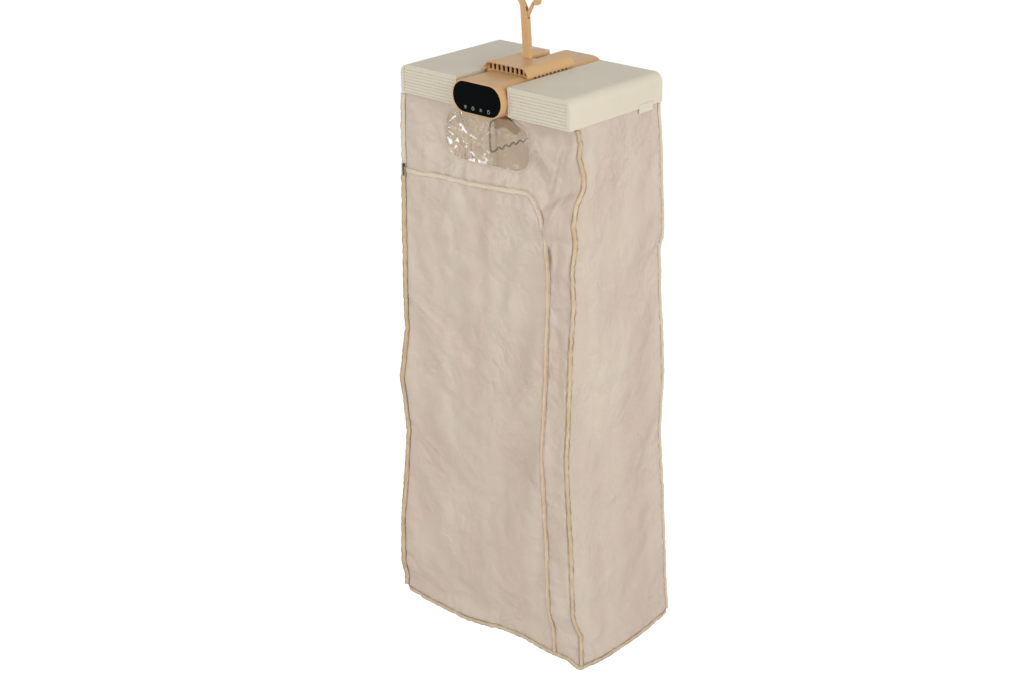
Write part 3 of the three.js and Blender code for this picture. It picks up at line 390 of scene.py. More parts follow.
@dataclass(frozen=True)
class BindingTape(Recipe):
    """Folded edge tape with a stitch line, puckered along its length."""

    worn: Colour
    # the colour of the shade painted along the tape's folded edges
    edge_shade: Colour
    width: float
    pucker: float = 90.0
    pale_from: float = 9.0  # the height from which the tape is as pale as the cloth

    def shader(self, board: NodeBoard) -> Socket:
        """Makes the worn tape, with painted shade as a darker line along both of its folded edges."""
        along, place = board.coordinates(uv=True), board.coordinates()
        over = board.axis(along, "Y")
        lines = []
        # The middle of the tape's upper and under side in its map, and the band beyond which the edges are
        # painted with shade
        for middle, inner, outer in ((0.7, 0.2, 0.34), (1.7, 0.045, 0.075)):
            aside = board.math("ABSOLUTE", board.math("SUBTRACT", over, middle * self.width))
            lines.append(board.spread(aside, inner * self.width, outer * self.width))
        body = board.blend(board.spread(board.noise(place, 22, 4, 0.6), 0.36, 0.64), self.colour, self.worn)
        paled = board.spread(board.axis(place, "Z"), self.pale_from - 0.05, self.pale_from, 0.0, 0.9)
        body = board.blend(paled, body, linear(206, 192, 174))
        # The painted edge shade comes in patches, and is fainter where the tape turns pale
        drawn = board.spread(board.noise(place, 42, 3), 0.36, 0.6, 0.25, 1.0)
        edge_shade_share = board.product(drawn, board.math("SUBTRACT", 1.0, board.product(paled, 0.45)))
        tint = board.blend(board.product(board.math("MINIMUM", *lines), edge_shade_share), body, self.edge_shade)
        normal = board.bump(board.noise(along, self.pucker, 2), 0.0016)
        stitch = board.add("TexWave", Vector=along, Scale=60, bands_direction="X").outputs["Fac"]
        normal = board.bump(stitch, 0.00022, 0.6, Normal=normal)
        normal = board.bump(board.noise(place, 1400, 2), 0.00005, 0.6, Normal=normal)
        return board.surface(Base_Color=tint, Normal=normal, Roughness=0.75, Sheen_Weight=0.15)


@dataclass(frozen=True)
class ClearFilm(Recipe):
    """Soft clear film, yellowed a little, with sharp glossy crumples and painted white highlights on their
    crests.
    """

    haze: Colour
    smooth_from: tuple[float, float] = (0.235, 0.285)  # where across its map the crumples die out

    def shader(self, board: NodeBoard) -> Socket:
        """Makes the film: clear, hazed, glossy, and with glints painted in white on its crests."""
        cloth = board.coordinates(uv=True)
        bent = board.warped(cloth, 14, 3, 0.05)
        crumpled = board.spread(board.axis(cloth, "X"), *self.smooth_from, 1.0, 0.0)
        waves = board.noise(cloth, 30, 3, 0.5, 0.6)
        height = board.math("ADD", board.product(board.facets(bent, 42, 0.3), 0.8), waves)
        height = board.product(height, board.math("ADD", board.product(crumpled, 0.7), 0.3))
        normal = board.bump(height, 0.005)
        clear = board.add("BsdfTransparent", Color=self.colour).outputs[0]
        milky = board.add("BsdfDiffuse", Color=self.haze, Normal=normal).outputs[0]
        gloss = board.add("BsdfGlossy", Roughness=0.1, Normal=normal).outputs[0]
        edge = board.add("Fresnel", IOR=1.5, Normal=normal).outputs[0]
        white = board.add("BsdfDiffuse", Color=(0.95, 0.95, 0.93, 1)).outputs[0]
        cloud = board.spread(board.noise(cloth, 26, 3, 0.6, 0.8), 0.35, 0.65, 0.12, 0.5)
        haze = board.math("ADD", board.product(cloud, crumpled, 0.4), 0.19)
        # Painted highlights: a white diffuse mixed in on the crumples' crests, in patches, as glints
        crests = board.spread(board.ridges(bent, 20, 2, 2.0), 0.98, 1.12)
        glint = board.product(crests, board.spread(board.noise(cloth, 60, 2), 0.5, 0.56), crumpled)
        return board.mixed(glint, board.mixed(edge, board.mixed(haze, clear, milky), gloss), white)


class Finish(Enum):
    """The finishes, each with the record's material slot that it belongs to."""

    CREAM = ("cream_plastic", MouldedPlastic("cream plastic", linear(204, 195, 176), 0.5))
    TAN = ("tan_plastic", MouldedPlastic("tan plastic", linear(198, 158, 110), 0.42))
    LENS = ("black_gloss", GlossLens("black lens", linear(7, 8, 9)))
    DARK = ("dark_plastic", MouldedPlastic("dark plastic", linear(52, 52, 54), 0.55))
    BOARD = ("circuit", CircuitBoard("circuit board", linear(38, 92, 58)))
    STEEL = ("steel", Metal("steel", linear(150, 150, 152), 0.28))
    ALUMINIUM = ("aluminium", Metal("aluminium", linear(190, 192, 196), 0.35, (1, 20, 20)))
    RAIL = ("steel", Metal("rail steel", linear(66, 56, 48), 0.34))
    ZIP_METAL = ("steel", Metal("zip metal", linear(112, 106, 98), 0.34))
    FABRIC = ("bag_fabric", BagFabric("bag nylon", linear(221, 208, 192), linear(213, 196, 182)))
    # Each tape's colours: its own, its worn patches, and the shade painted along its folded edges
    BINDING = ("bag_binding", BindingTape(
        "edge binding", linear(197, 180, 153), linear(188, 163, 130), linear(148, 125, 95), 0.0125,
    ))
    LEFT_BINDING = ("bag_binding", BindingTape(
        "left binding", linear(198, 178, 148), linear(184, 160, 126), linear(148, 128, 98), 0.0125,
        90, -0.42,
    ))
    PALE_BINDING = ("bag_binding", BindingTape(
        "pale binding", linear(207, 193, 174), linear(203, 184, 158), linear(196, 174, 144), 0.0070,
    ))
    ZIP = ("bag_binding", BindingTape(
        "zip tape", linear(206, 187, 165), linear(201, 175, 148), linear(178, 149, 118), 0.0130, 60, -0.50,
    ))
    FILM = ("clear_film", ClearFilm("clear film", linear(252, 246, 234), linear(238, 223, 196)))
    PRINT = ("black_gloss", MouldedPlastic("key print", linear(158, 160, 162), 0.5))

    @property
    def slot(self) -> str:
        """The record's material slot."""
        return self.value[0]

    def material(self) -> bpy.types.Material:
        """Returns the finish's material."""
        return self.value[1].material()


# ------------------------------------------------------------------------------- helpers
def scene_object(name: str, data: bpy.types.ID) -> bpy.types.Object:
    """Puts a new object into the scene.

    Args:
        name: Its name.
        data: Its mesh, lamp or camera.

    Returns:
        The object.
    """
    obj = bpy.data.objects.new(name, data)
    bpy.context.scene.collection.objects.link(obj)
    return obj


def mesh_from(name: str, bm: bmesh.types.BMesh) -> bpy.types.Mesh:
    """Turns a bmesh, which is freed, into a mesh with a name."""
    mesh = bpy.data.meshes.new(name)
    bm.to_mesh(mesh)
    bm.free()
    return mesh


def face_away(bm: bmesh.types.BMesh, axis: int) -> None:
    """Turns an open mesh's faces so that they look down an axis (0, 1 or 2), not up it."""
    bmesh.ops.recalc_face_normals(bm, faces=bm.faces[:])
    if sum(f.normal[axis] for f in bm.faces) > 0:
        bmesh.ops.reverse_faces(bm, faces=bm.faces[:])


def grid_of(bm: bmesh.types.BMesh, columns: int, rows: int) -> dict[bmesh.types.BMVert, tuple[int, int]]:
    """Adds a grid to a mesh.

    Args:
        bm: The mesh.
        columns: How many cells wide it is.
        rows: How many cells high it is.

    Returns:
        Each point with its column and its row, counted along x and y.
    """
    made = bmesh.ops.create_grid(bm, x_segments=columns, y_segments=rows, size=0.5)["verts"]
    return {v: (round((v.co.x + 0.5) * columns), round((v.co.y + 0.5) * rows)) for v in made}


def dress(obj: bpy.types.Object, finish: Finish) -> bpy.types.Object:
    """Gives a piece one finish.

    Args:
        obj: The piece.
        finish: Its finish.

    Returns:
        The piece.
    """
    obj.data.materials.clear()
    obj.data.materials.append(finish.material())
    finish.slot
    return obj


def soften(obj: bpy.types.Object, edge: float, angle: float = 32.0) -> None:
    """Rounds a moulding's edges a little and smooths its round stretches.

    Args:
        obj: A CAD node's object.
        edge: The width of the rounding, 0 for none.
        angle: Edges sharper than this, in degrees, are rounded.
    """
    for polygon in obj.data.polygons:
        polygon.use_smooth = True
    steps = {
        "WELD": {"merge_threshold": 0.00001},
        "DECIMATE": {"decimate_type": "DISSOLVE", "angle_limit": math.radians(1.0)},
        "BEVEL": {
            "width": edge, "segments": 2, "limit_method": "ANGLE", "angle_limit": math.radians(angle),
            "harden_normals": False,
        },
        "WEIGHTED_NORMAL": {"keep_sharp": True, "weight": 80},
    }
    for kind, settings in steps.items():
        if kind == "BEVEL" and edge <= 0:
            continue
        modifier = obj.modifiers.new(kind.lower(), kind)
        for key, value in settings.items():
            setattr(modifier, key, value)


def new_piece(name: str, bm: bmesh.types.BMesh, finish: Finish, body: str = "core") -> bpy.types.Object:
    """Makes a piece from a bmesh, dresses it and lets it ride on a body.

    Args:
        name: The piece's name.
        bm: Its mesh, which is freed.
        finish: Its finish.
        body: The CAD body that carries it.

    Returns:
        The new object.
    """
    mesh = mesh_from(name, bm)
    for polygon in mesh.polygons:
        polygon.use_smooth = True
    obj = dress(scene_object(name, mesh), finish)
    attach(obj, body)
    log.info("made %s with %d faces", name, len(mesh.polygons))
    return obj


# ------------------------------------------------------------------------------- rigid pieces
@dataclass
class RigidPieces:
    """The CAD pieces that keep their shapes: each finish with the nodes that have it."""

    nodes: dict[str, bpy.types.Object]
    plan: dict[Finish, tuple[str, ...]] = field(default_factory=lambda: {
        Finish.TAN: (
            "core_housing", "core_base_tray", "front_bezel", "rear_cap", "shroud_cover",
            "intake_grille", "outlet_grille", "rail_bracket_front", "rail_bracket_rear",
            "hook_arm", "hook_gate",
        ),
        Finish.CREAM: tuple(
            f"{side}_{piece}" for side in SIDES
            for piece in ("wing_shell", "wing_front_panel", "wing_rear_panel", "bag_rail", "latch_tab")
        ),
        Finish.LENS: ("panel_lens",),
        Finish.DARK: ("power_inlet", "impeller", "motor_bracket", "heater_frame"),
        Finish.BOARD: ("control_board", "power_board"),
        Finish.STEEL: (
            *(f"{side}_hinge_pin_{end}" for side in SIDES for end in ("front", "rear")),
            *(f"base_screw_{number}" for number in range(1, 5)),
            "fan_shaft", "fan_motor", "gate_pin", "hook_pivot_pin",
        ),
        Finish.ZIP_METAL: ("zip_slider", "zip_pull"),
        Finish.RAIL: ("garment_rail",),
        Finish.ALUMINIUM: ("heater_fins", "thermal_cutout"),
    })
    edge: float = 0.0005  # how wide the edges' rounding is, except on the small pieces
    small_edges: dict[str, float] = field(default_factory=lambda: {
        "garment_rail": 0.0, **dict.fromkeys(
            ("zip_slider", "zip_pull", "intake_grille", "fan_shaft", "gate_pin"), 0.0002,
        ),
    })

    def dress(self) -> None:
        """Dresses and softens every node in the plan."""
        for finish, names in self.plan.items():
            for name in names:
                soften(dress(self.nodes[name], finish), self.small_edges.get(name, self.edge))
        log.info("dressed %d rigid pieces", sum(len(names) for names in self.plan.values()))


# ------------------------------------------------------------------------------- the bag
class Side(IntEnum):
    """The bag's four sides, in the order they are met going round from the front's left."""

    FRONT = 0
    RIGHT = 1
    BACK = 2
    LEFT = 3


class Panel(IntEnum):
    """The pieces that the bag is sewn from, with the bag's halves kept apart at the fold line."""

    NONE = 0
    SURROUND_LEFT = 1
    SURROUND_RIGHT = 2
    WINDOW_LEFT = 3
    WINDOW_RIGHT = 4
    DOOR_LEFT = 5
    DOOR_RIGHT = 6
    RIGHT_SIDE = 7
    BACK_RIGHT = 8
    BACK_LEFT = 9
    LEFT_SIDE = 10
    STRIP_RIGHT = 11


@dataclass
class BagForm:
    """The bag's outer form: a tall box that flares to its foot, hung a little crookedly.

    Heights and places are measured from the middle of the wings' flat top.
    """

    top_x: float = 0.2548
    top_y: float = 0.1510
    foot_x: float = 0.2848
    foot_y: float = 0.1810
    top: float = -0.060
    foot: float = -1.400
    notch: float = -0.0805  # the hem's height under the core
    window_left: float = -0.130
    window_right: float = 0.122
    window_foot: float = -0.199
    window_corner: float = 0.052
    zip_top: float = -0.246
    zip_right: float = 0.186
    zip_right_foot: float = 0.211
    zip_corner: tuple[float, float] = (0.060, 0.150)
    # Where each corner seam wanders: height, sideways and backwards shift, in millimetres
    front_right: Table = metres(
        (-60, 0, 14), (-104, 1, 29), (-126, 0, 20), (-172, 3, 34), (-206, 3, 34), (-232, 1, 12),
        (-285, 0, 1), (-322, 3, 7), (-375, -1, -2), (-470, 1, 0), (-579, -5, -6), (-766, -10, -10),
        (-830, -13, -13), (-864, -13, -13), (-1043, -8, -8), (-1266, -4, -4), (-1322, 4, 16),
        (-1400, 4, 16),
    )
    front_left: Table = metres(
        (-60, 0, 0), (-135, -2, -2), (-232, 0, 0), (-382, -2, -2), (-668, 1, 1), (-789, -9, -8),
        (-936, 3, 2), (-1046, -3, -2), (-1113, -7, -6), (-1185, -11, -10), (-1319, -12, -11),
        (-1365, -4, -4), (-1400, -6, -6),
    )
    rear_right: Table = metres(
        (-60, 0, 0), (-216, 2, 2), (-385, 3, 2), (-412, -4, -4), (-523, -4, -4), (-640, -1, -1),
        (-719, -1, -1), (-899, -9, -9), (-1085, -5, -5), (-1286, -3, -3), (-1400, -1, -1),
    )
    rear_left: Table = metres(
        (-60, 0, 0), (-300, 4, -3), (-520, -3, 2), (-760, 6, -6), (-980, -3, 3), (-1200, 5, -4),
        (-1400, 0, 0),
    )
    # Where the lower hem wanders: share of the way round each side, height shift
    hem: dict[Side, Table] = field(default_factory=lambda: {
        Side.FRONT: ((0, 0.008), (0.1, -0.001), (0.32, -0.006), (0.5, 0.008), (0.52, 0.013), (0.7, 0.019),
                     (0.8, 0.010), (0.93, 0.013), (1, 0.0)),
        Side.RIGHT: ((0, 0.0), (0.25, -0.014), (0.5, -0.016), (0.75, -0.013), (1, 0.0)),
        Side.BACK: ((0, 0.0), (0.3, -0.006), (0.55, 0.004), (0.8, -0.004), (1, 0.0)),
        Side.LEFT: ((0, 0.0), (0.3, -0.008), (0.6, 0.003), (1, 0.008)),
    })
    # How far the zip is raised at each place across, and shifted sideways at each height
    zip_rise: Table = metres(
        (-260, -10), (-144, -3), (-105, -3), (0, 2), (110, 10), (200, 8),
    )
    zip_sway: Table = metres(
        (-1400, 3), (-1130, -2), (-840, -8), (-664, 2), (-468, 6), (-377, 9), (-320, 1), (-246, 0),
    )


    def corner(self, which: tuple[int, int], z: float) -> np.ndarray:
        """Gives a corner seam's place at a height.

        Args:
            which: -1 or 1 for left or right, then -1 or 1 for front or back.
            z: The height.

        Returns:
            The point.
        """
        share = (self.top - z) / (self.top - self.foot)
        x = self.top_x + (self.foot_x - self.top_x) * share
        y = self.top_y + (self.foot_y - self.top_y) * share
        wander = {
            (1, -1): self.front_right, (-1, -1): self.front_left,
            (1, 1): self.rear_right, (-1, 1): self.rear_left,
        }[which]
        return np.array((
            which[0] * x + read_off(wander, z, 1), which[1] * y + read_off(wander, z, 2), z,
        ))


@dataclass(frozen=True)
class Pull:
    """A fan of sharp folds that a strain draws across the bag's front."""

    start: tuple[float, float]
    end: tuple[float, float]
    width: float
    folds: int
    height: float

    def height_at(self, x: float, z: float) -> float:
        """Gives the folds' height at a place.

        Args:
            x: The place across the front.
            z: Its height.

        Returns:
            How far the cloth stands out.
        """
        run = (self.end[0] - self.start[0], self.end[1] - self.start[1])
        length = math.hypot(*run)
        over, up = x - self.start[0], z - self.start[1]
        along = (over * run[0] + up * run[1]) / length ** 2
        aside = (over * run[1] - up * run[0]) / length / (self.width * (0.5 + along))
        if not 0 < along < 1 or abs(aside) > 1:
            return 0.0
        fade = math.sin(math.pi * along) * math.cos(aside * math.pi / 2)
        return self.height * fade * (1 - 2 * abs(math.sin(aside * math.pi * self.folds / 2)))


ROUND, CUT_OFF = 0.293, 0.37  # how far a square corner is drawn in: to be round, or nearly straight
CREASE_SEED = 1795577236  # without it Blender seeds its vector noise by the clock


@dataclass
class BagCloth:
    """Makes the bag's cloth: a grid for each side, hung from its seams and let settle."""

    form: BagForm
    front_columns: tuple[int, ...] = (10, 10, 10, 5, 7)
    side_columns: int = 27
    half_back_columns: int = 20
    row_counts: tuple[int, ...] = (2, 9, 4, 88)
    core_gap: int = 12  # how many of the back's columns the core passes through
    slack: float = 0.006
    frames: int = 24
    gather: float = 0.0026  # the puckers' height beside a seam
    pleat: float = 0.0080  # the pleats' height below the rails
    fold: float = 0.0015  # the height of the soft folds
    facet: float = 0.0040  # and of the sharp facets between them
    map_length: float = 1.34  # how long the cloth's map is, from the hem down
    hair: float = 0.0005  # how far above the notch a point still counts as below it
    bolder: float = 1.4  # how much deeper the strains' folds are than their stated heights
    pulls: tuple[Pull, ...] = (
        Pull((0.118, -0.085), (0.176, -0.236), 0.022, 4, 0.0032),
        Pull((0.100, -0.190), (0.186, -0.262), 0.024, 3, 0.0028),
        Pull((0.172, -0.258), (0.200, -0.410), 0.020, 3, 0.0036),
        Pull((0.232, -0.074), (0.168, -0.300), 0.024, 3, 0.0026),
        Pull((-0.262, -0.252), (-0.120, -0.350), 0.030, 4, 0.0020),
        Pull((-0.090, -0.200), (-0.150, -0.250), 0.030, 3, 0.0026),
        Pull((-0.275, -0.560), (-0.130, -0.640), 0.045, 5, 0.0022),
        Pull((-0.275, -0.760), (-0.110, -0.720), 0.040, 5, 0.0022),
        Pull((-0.275, -0.930), (-0.150, -1.010), 0.040, 4, 0.0020),
        Pull((-0.100, -1.360), (-0.060, -1.080), 0.016, 2, 0.0018),
        Pull((0.190, -0.620), (0.080, -0.760), 0.030, 4, 0.0022),
        Pull((0.200, -0.960), (0.060, -0.860), 0.030, 4, 0.0020),
    )

    @property
    def columns(self) -> np.ndarray:
        """The front's columns at its left edge, the window, its middle, the zip and its right edge."""
        return np.cumsum((0, *self.front_columns))

    @property
    def rows(self) -> np.ndarray:
        """The rows at the hem, the core's notch, the window's foot, the zip's top and the foot."""
        return np.cumsum((0, *self.row_counts))

    def row_height(self, side: Side, u: float, w: float, x_guess: float) -> float:
        """Gives the height of a row.

        Args:
            side: The side it is on.
            u: The share of the way across the side.
            w: The share of the rows from the top.
            x_guess: About where across the front the point is.

        Returns:
            The height.
        """
        form = self.form
        fade = {Side.FRONT: 1.0, Side.RIGHT: 1 - u, Side.LEFT: u, Side.BACK: 0.0}[side]
        rise = read_off(form.zip_rise, x_guess) * fade
        foot = form.foot + read_off(form.hem[side], u)
        levels = (form.top, form.notch, form.window_foot, form.zip_top + rise, foot)
        return float(np.interp(w, self.rows / self.rows[-1], levels))

    def rounded(self, a: float, b: float, slant: float) -> tuple[float, float]:
        """Bends a square corner of the grid, both coordinates 0 to 1, into a round or slanted one."""
        reach = max(a, b, 1e-9)
        if a <= 0 or b <= 0 or reach >= 2:
            return a, b
        edge_a, edge_b = (a, b) if reach <= 1 else (a / reach, b / reach)
        round_a = edge_a * (1 - slant * edge_b * edge_b)
        round_b = edge_b * (1 - slant * edge_a * edge_a)
        fade = 1.0 if reach <= 1 else 2 - reach
        return a + (round_a - edge_a) * fade, b + (round_b - edge_b) * fade

    def round_corner(self, x: float, z: float, corner: tuple[float, float], radii: tuple[float, float],
                     way: tuple[int, int], slant: float = ROUND) -> tuple[float, float]:
        """Rounds one corner of the window or the door.

        Args:
            x: A point's place across the front.
            z: Its height.
            corner: The square corner.
            radii: How far the rounding reaches sideways and up.
            way: The signs of the directions from the middle to the corner.
            slant: ROUND, or CUT_OFF for a corner cut nearly straight across.

        Returns:
            The point's new place.
        """
        middle = (corner[0] - way[0] * radii[0], corner[1] - way[1] * radii[1])
        a, b = self.rounded((x - middle[0]) * way[0] / radii[0], (z - middle[1]) * way[1] / radii[1], slant)
        return middle[0] + way[0] * radii[0] * a, middle[1] + way[1] * radii[1] * b

    def front_point(self, u: float, w: float) -> np.ndarray:
        """Gives a point on the front, u of the way across and w of the rows down."""
        form = self.form
        stops = self.columns / self.columns[-1]
        nominal = (-form.foot_x, form.window_left, 0.0, form.window_right, form.zip_right, form.foot_x)
        z = self.row_height(Side.FRONT, u, w, float(np.interp(u, stops, nominal)))
        left, right = form.corner((-1, -1), z), form.corner((1, -1), z)
        share = (form.zip_top - z) / (form.zip_top - form.foot)
        zip_x = form.zip_right + (form.zip_right_foot - form.zip_right) * max(0.0, share)
        zip_x += read_off(form.zip_sway, z)
        across = (left[0], form.window_left, 0.0, form.window_right, zip_x, right[0])
        x = float(np.interp(u, stops, across))
        if z <= form.notch + self.hair:
            x, z = self.round_corner(x, z, (zip_x, form.zip_top + 0.008), form.zip_corner, (1, 1), CUT_OFF)
            radii = (form.window_corner, form.window_corner)
            for way_x, edge in ((-1, form.window_left), (1, form.window_right)):
                for way_z, level in ((-1, form.window_foot), (1, form.notch)):
                    x, z = self.round_corner(x, z, (edge, level), radii, (way_x, way_z))
        t = (x - left[0]) / (right[0] - left[0])
        return np.array((x, left[1] + (right[1] - left[1]) * t, z))

    def point(self, side: Side, u: float, w: float) -> np.ndarray:
        """Gives a point of the bag's shape before it settles.

        Args:
            side: The side.
            u: The share of the way across it, seen from outside, left to right.
            w: The share of the rows from the top.

        Returns:
            The point.
        """
        if side == Side.FRONT:
            return self.front_point(u, w)
        ends = {
            Side.RIGHT: ((1, -1), (1, 1)), Side.BACK: ((1, 1), (-1, 1)), Side.LEFT: ((-1, 1), (-1, -1)),
        }[side]
        x_end = self.form.foot_x if side == Side.RIGHT else -self.form.foot_x
        z = self.row_height(side, u, w, x_end)
        first, second = self.form.corner(ends[0], z), self.form.corner(ends[1], z)
        if side == Side.BACK:
            x = np.interp(u, (0, 0.5, 1), (first[0], 0.0, second[0]))
            t = (x - first[0]) / (second[0] - first[0])
        else:
            t = u
        return first + (second - first) * t

    def panel(self, side: Side, column: int, row: int, columns: int) -> Panel:
        """Says which panel a cell of the grid belongs to.

        Args:
            side: The side.
            column: The cell's column.
            row: Its row.
            columns: How many columns the side has.

        Returns:
            The panel, or NONE where the core passes through.
        """
        if side != Side.FRONT and side != Side.BACK:
            return Panel.RIGHT_SIDE if side == Side.RIGHT else Panel.LEFT_SIDE
        rows, stops = self.rows, self.columns
        if side == Side.BACK:
            if row < rows[1] and abs(column + 0.5 - columns / 2) < self.core_gap / 2:
                return Panel.NONE
            return Panel.BACK_RIGHT if column < columns / 2 else Panel.BACK_LEFT
        half = int(column >= stops[2])
        if row < rows[1] and stops[1] + 4 <= column < stops[3] - 3:
            return Panel.NONE
        if rows[1] <= row < rows[2] and stops[1] <= column < stops[3]:
            return (Panel.WINDOW_LEFT, Panel.WINDOW_RIGHT)[half]
        if row < rows[3]:
            return (Panel.SURROUND_LEFT, Panel.SURROUND_RIGHT)[half]
        return Panel.STRIP_RIGHT if column >= stops[4] else (Panel.DOOR_LEFT, Panel.DOOR_RIGHT)[half]

    def seam(self, side: Side, column: int, row: int, columns: int) -> float:
        """Says how firmly a grid point is held: 1 on a seam or hem, 0 in the open cloth."""
        rows, stops = self.rows, self.columns
        held = row <= 1 or row == rows[-1] or column in (0, columns)
        held |= side in (Side.FRONT, Side.BACK) and row == rows[1]
        if side == Side.FRONT:
            held |= row == rows[3] and column <= stops[4]
            held |= column == stops[4] and row >= rows[3]
            at_window = stops[1] <= column <= stops[3] and rows[1] <= row <= rows[2]
            held |= at_window and (column in (stops[1], stops[3]) or row == rows[2])
        return float(held)

    def grid(self) -> bpy.types.Object:
        """Makes the whole bag's grid as one object, with its panels, seams and cloth map marked.

        Returns:
            The object, before it settles.
        """
        bm = bmesh.new()
        panel_layer = bm.faces.layers.int.new("panel")
        deform = bm.verts.layers.deform.verify()
        uv_layer = bm.loops.layers.uv.new("cloth")
        rows, start = int(self.rows[-1]), 0.0
        across = {Side.FRONT: int(self.columns[-1]), Side.BACK: 2 * self.half_back_columns}
        for side in Side:
            columns = across.get(side, self.side_columns)
            width = 2 * (self.form.foot_x if side in across else self.form.foot_y)
            place = {v: (column, rows - up) for v, (column, up) in grid_of(bm, columns, rows).items()}
            for vert, (column, row) in place.items():
                vert[deform][0] = self.seam(side, column, row, columns)
            for face in {f for v in place for f in v.link_faces}:
                cell = (min(place[v][0] for v in face.verts), min(place[v][1] for v in face.verts))
                face[panel_layer] = self.panel(side, *cell, columns)
                for loop in face.loops:
                    column, row = place[loop.vert]
                    loop[uv_layer].uv = (start + width * column / columns, -self.map_length * row / rows)
            for vert, (column, row) in place.items():
                vert.co = Vector(self.point(side, column / columns, row / rows)) + DECK
            start += width
        empty = [f for f in bm.faces if f[panel_layer] == Panel.NONE]
        bmesh.ops.delete(bm, geom=empty, context="FACES")
        bmesh.ops.remove_doubles(bm, verts=bm.verts[:], dist=0.0002)
        bmesh.ops.recalc_face_normals(bm, faces=bm.faces[:])
        obj = scene_object("bag grid", mesh_from("bag grid", bm))
        obj.vertex_groups.new(name="seams")
        return obj

    def stir(self, obj: bpy.types.Object) -> None:
        """Starts the cloth off with slight uneven dents, so that its slack finds folds."""
        group = obj.vertex_groups["seams"].index
        normals = [v.normal.copy() for v in obj.data.vertices]
        for vert, normal in zip(obj.data.vertices, normals):
            held = max((g.weight for g in vert.groups if g.group == group), default=0.0)
            if held < 0.5:
                stretched = Vector((vert.co.x * 16, vert.co.y * 16, vert.co.z * 5))
                vert.co += normal * (noise.noise(stretched) * 0.006 + noise.noise(vert.co * 30) * 0.003)

    def settle(self, obj: bpy.types.Object) -> None:
        """Lets the cloth hang from its seams with its slack, as a simulation.

        Args:
            obj: The grid.
        """
        cloth = obj.modifiers.new("cloth", "CLOTH")
        nylon = {
            "quality": 4, "mass": 0.05, "air_damping": 2.0, "tension_stiffness": 25,
            "compression_stiffness": 25, "shear_stiffness": 12, "bending_stiffness": 0.08,
            "tension_damping": 8, "compression_damping": 8, "shear_damping": 8, "bending_damping": 0.5,
            "vertex_group_mass": "seams", "shrink_min": -self.slack, "shrink_max": -self.slack,
            "use_pressure": True, "uniform_pressure_force": 0.04,
        }
        for key, value in nylon.items():
            setattr(cloth.settings, key, value)
        cloth.collision_settings.use_collision = False
        cloth.point_cache.frame_start = 1
        cloth.point_cache.frame_end = self.frames
        for frame in range(1, self.frames + 1):
            bpy.context.scene.frame_set(frame)

    def hung(self) -> bpy.types.Mesh:
        """Makes the settled bag, made finer and creased, as one mesh.

        Returns:
            The mesh, with its panels marked.
        """
        obj = self.grid()
        log.info("bag grid with %d points", len(obj.data.vertices))
        self.stir(obj)
        self.settle(obj)
        finer = obj.modifiers.new("finer", "SUBSURF")
        finer.levels = finer.render_levels = 1
        bpy.context.view_layer.update()
        graph = bpy.context.evaluated_depsgraph_get()
        mesh = bpy.data.meshes.new_from_object(
            obj.evaluated_get(graph), preserve_all_data_layers=True, depsgraph=graph,
        )
        bpy.data.objects.remove(obj)
        bpy.context.scene.frame_set(1)
        log.info("bag settled")
        self.crease(mesh)
        log.info("bag creased")
        return mesh

    def gathered(self, p: Vector, seam: Vector, away: float) -> float:
        """Gives the height of the puckers that sewing leaves beside a seam.

        Args:
            p: A point of the cloth.
            seam: The nearest point of a seam.
            away: The distance between them.

        Returns:
            The height.
        """
        if away < 1e-5:
            return 0.0
        level = ((p.z - seam.z) / away) ** 2
        beside = noise.noise(Vector((p.z * 34 + away * 9, (p.x + p.y) * 5, 2.0)))
        below = noise.noise(Vector(((p.x + p.y) * 34 + away * 9, p.z * 5, 9.0)))
        fold = 1 - 3 * abs(beside) * (1 - level) - 3 * abs(below) * level
        return self.gather * fold * math.exp(-away / 0.035) * min(1.0, away / 0.012)

    def crease(self, mesh: bpy.types.Mesh) -> None:
        """Adds what sewing, packing and hanging leave in thin nylon between its seams.

        Args:
            mesh: The settled bag.
        """
        noise.seed_set(CREASE_SEED)
        held = [max((g.weight for g in v.groups), default=0.0) for v in mesh.vertices]
        sewn = [vert for vert, weight in zip(mesh.vertices, held) if weight > 0.99]
        seams = KDTree(len(sewn))
        for vert in sewn:
            seams.insert(vert.co, vert.index)
        seams.balance()
        normals = [v.normal.copy() for v in mesh.vertices]
        hem = DECK.z + self.form.top
        for vert, normal, weight in zip(mesh.vertices, normals, held):
            p = vert.co.copy()
            seam, _, away = seams.find(p)
            warp = noise.noise_vector(p * 6) * 0.05
            fold = noise.ridged_multi_fractal((p + warp) * 8, 0.9, 2.1, 3, 0.9, 1.6) - 1.2
            near, far = noise.voronoi(Vector((p.x * 15, p.y * 15, p.z * 9)) + warp * 12)[0][:2]
            height = (1 - 0.8 * weight) * (self.fold * fold + self.facet * (far - near))
            height += self.gathered(p, seam, away)
            depth = hem - p.z
            pleat = noise.noise(Vector((p.x * 30, p.y * 30, p.z * 3))) * math.exp(-depth / 0.1)
            height += self.pleat * pleat * min(1.0, max(0.0, (depth - 0.014) / 0.04))
            if normal.y < -0.6:
                strain = sum(pull.height_at(p.x - DECK.x, p.z - DECK.z) for pull in self.pulls)
                height += self.bolder * strain
            vert.co = p + normal * height


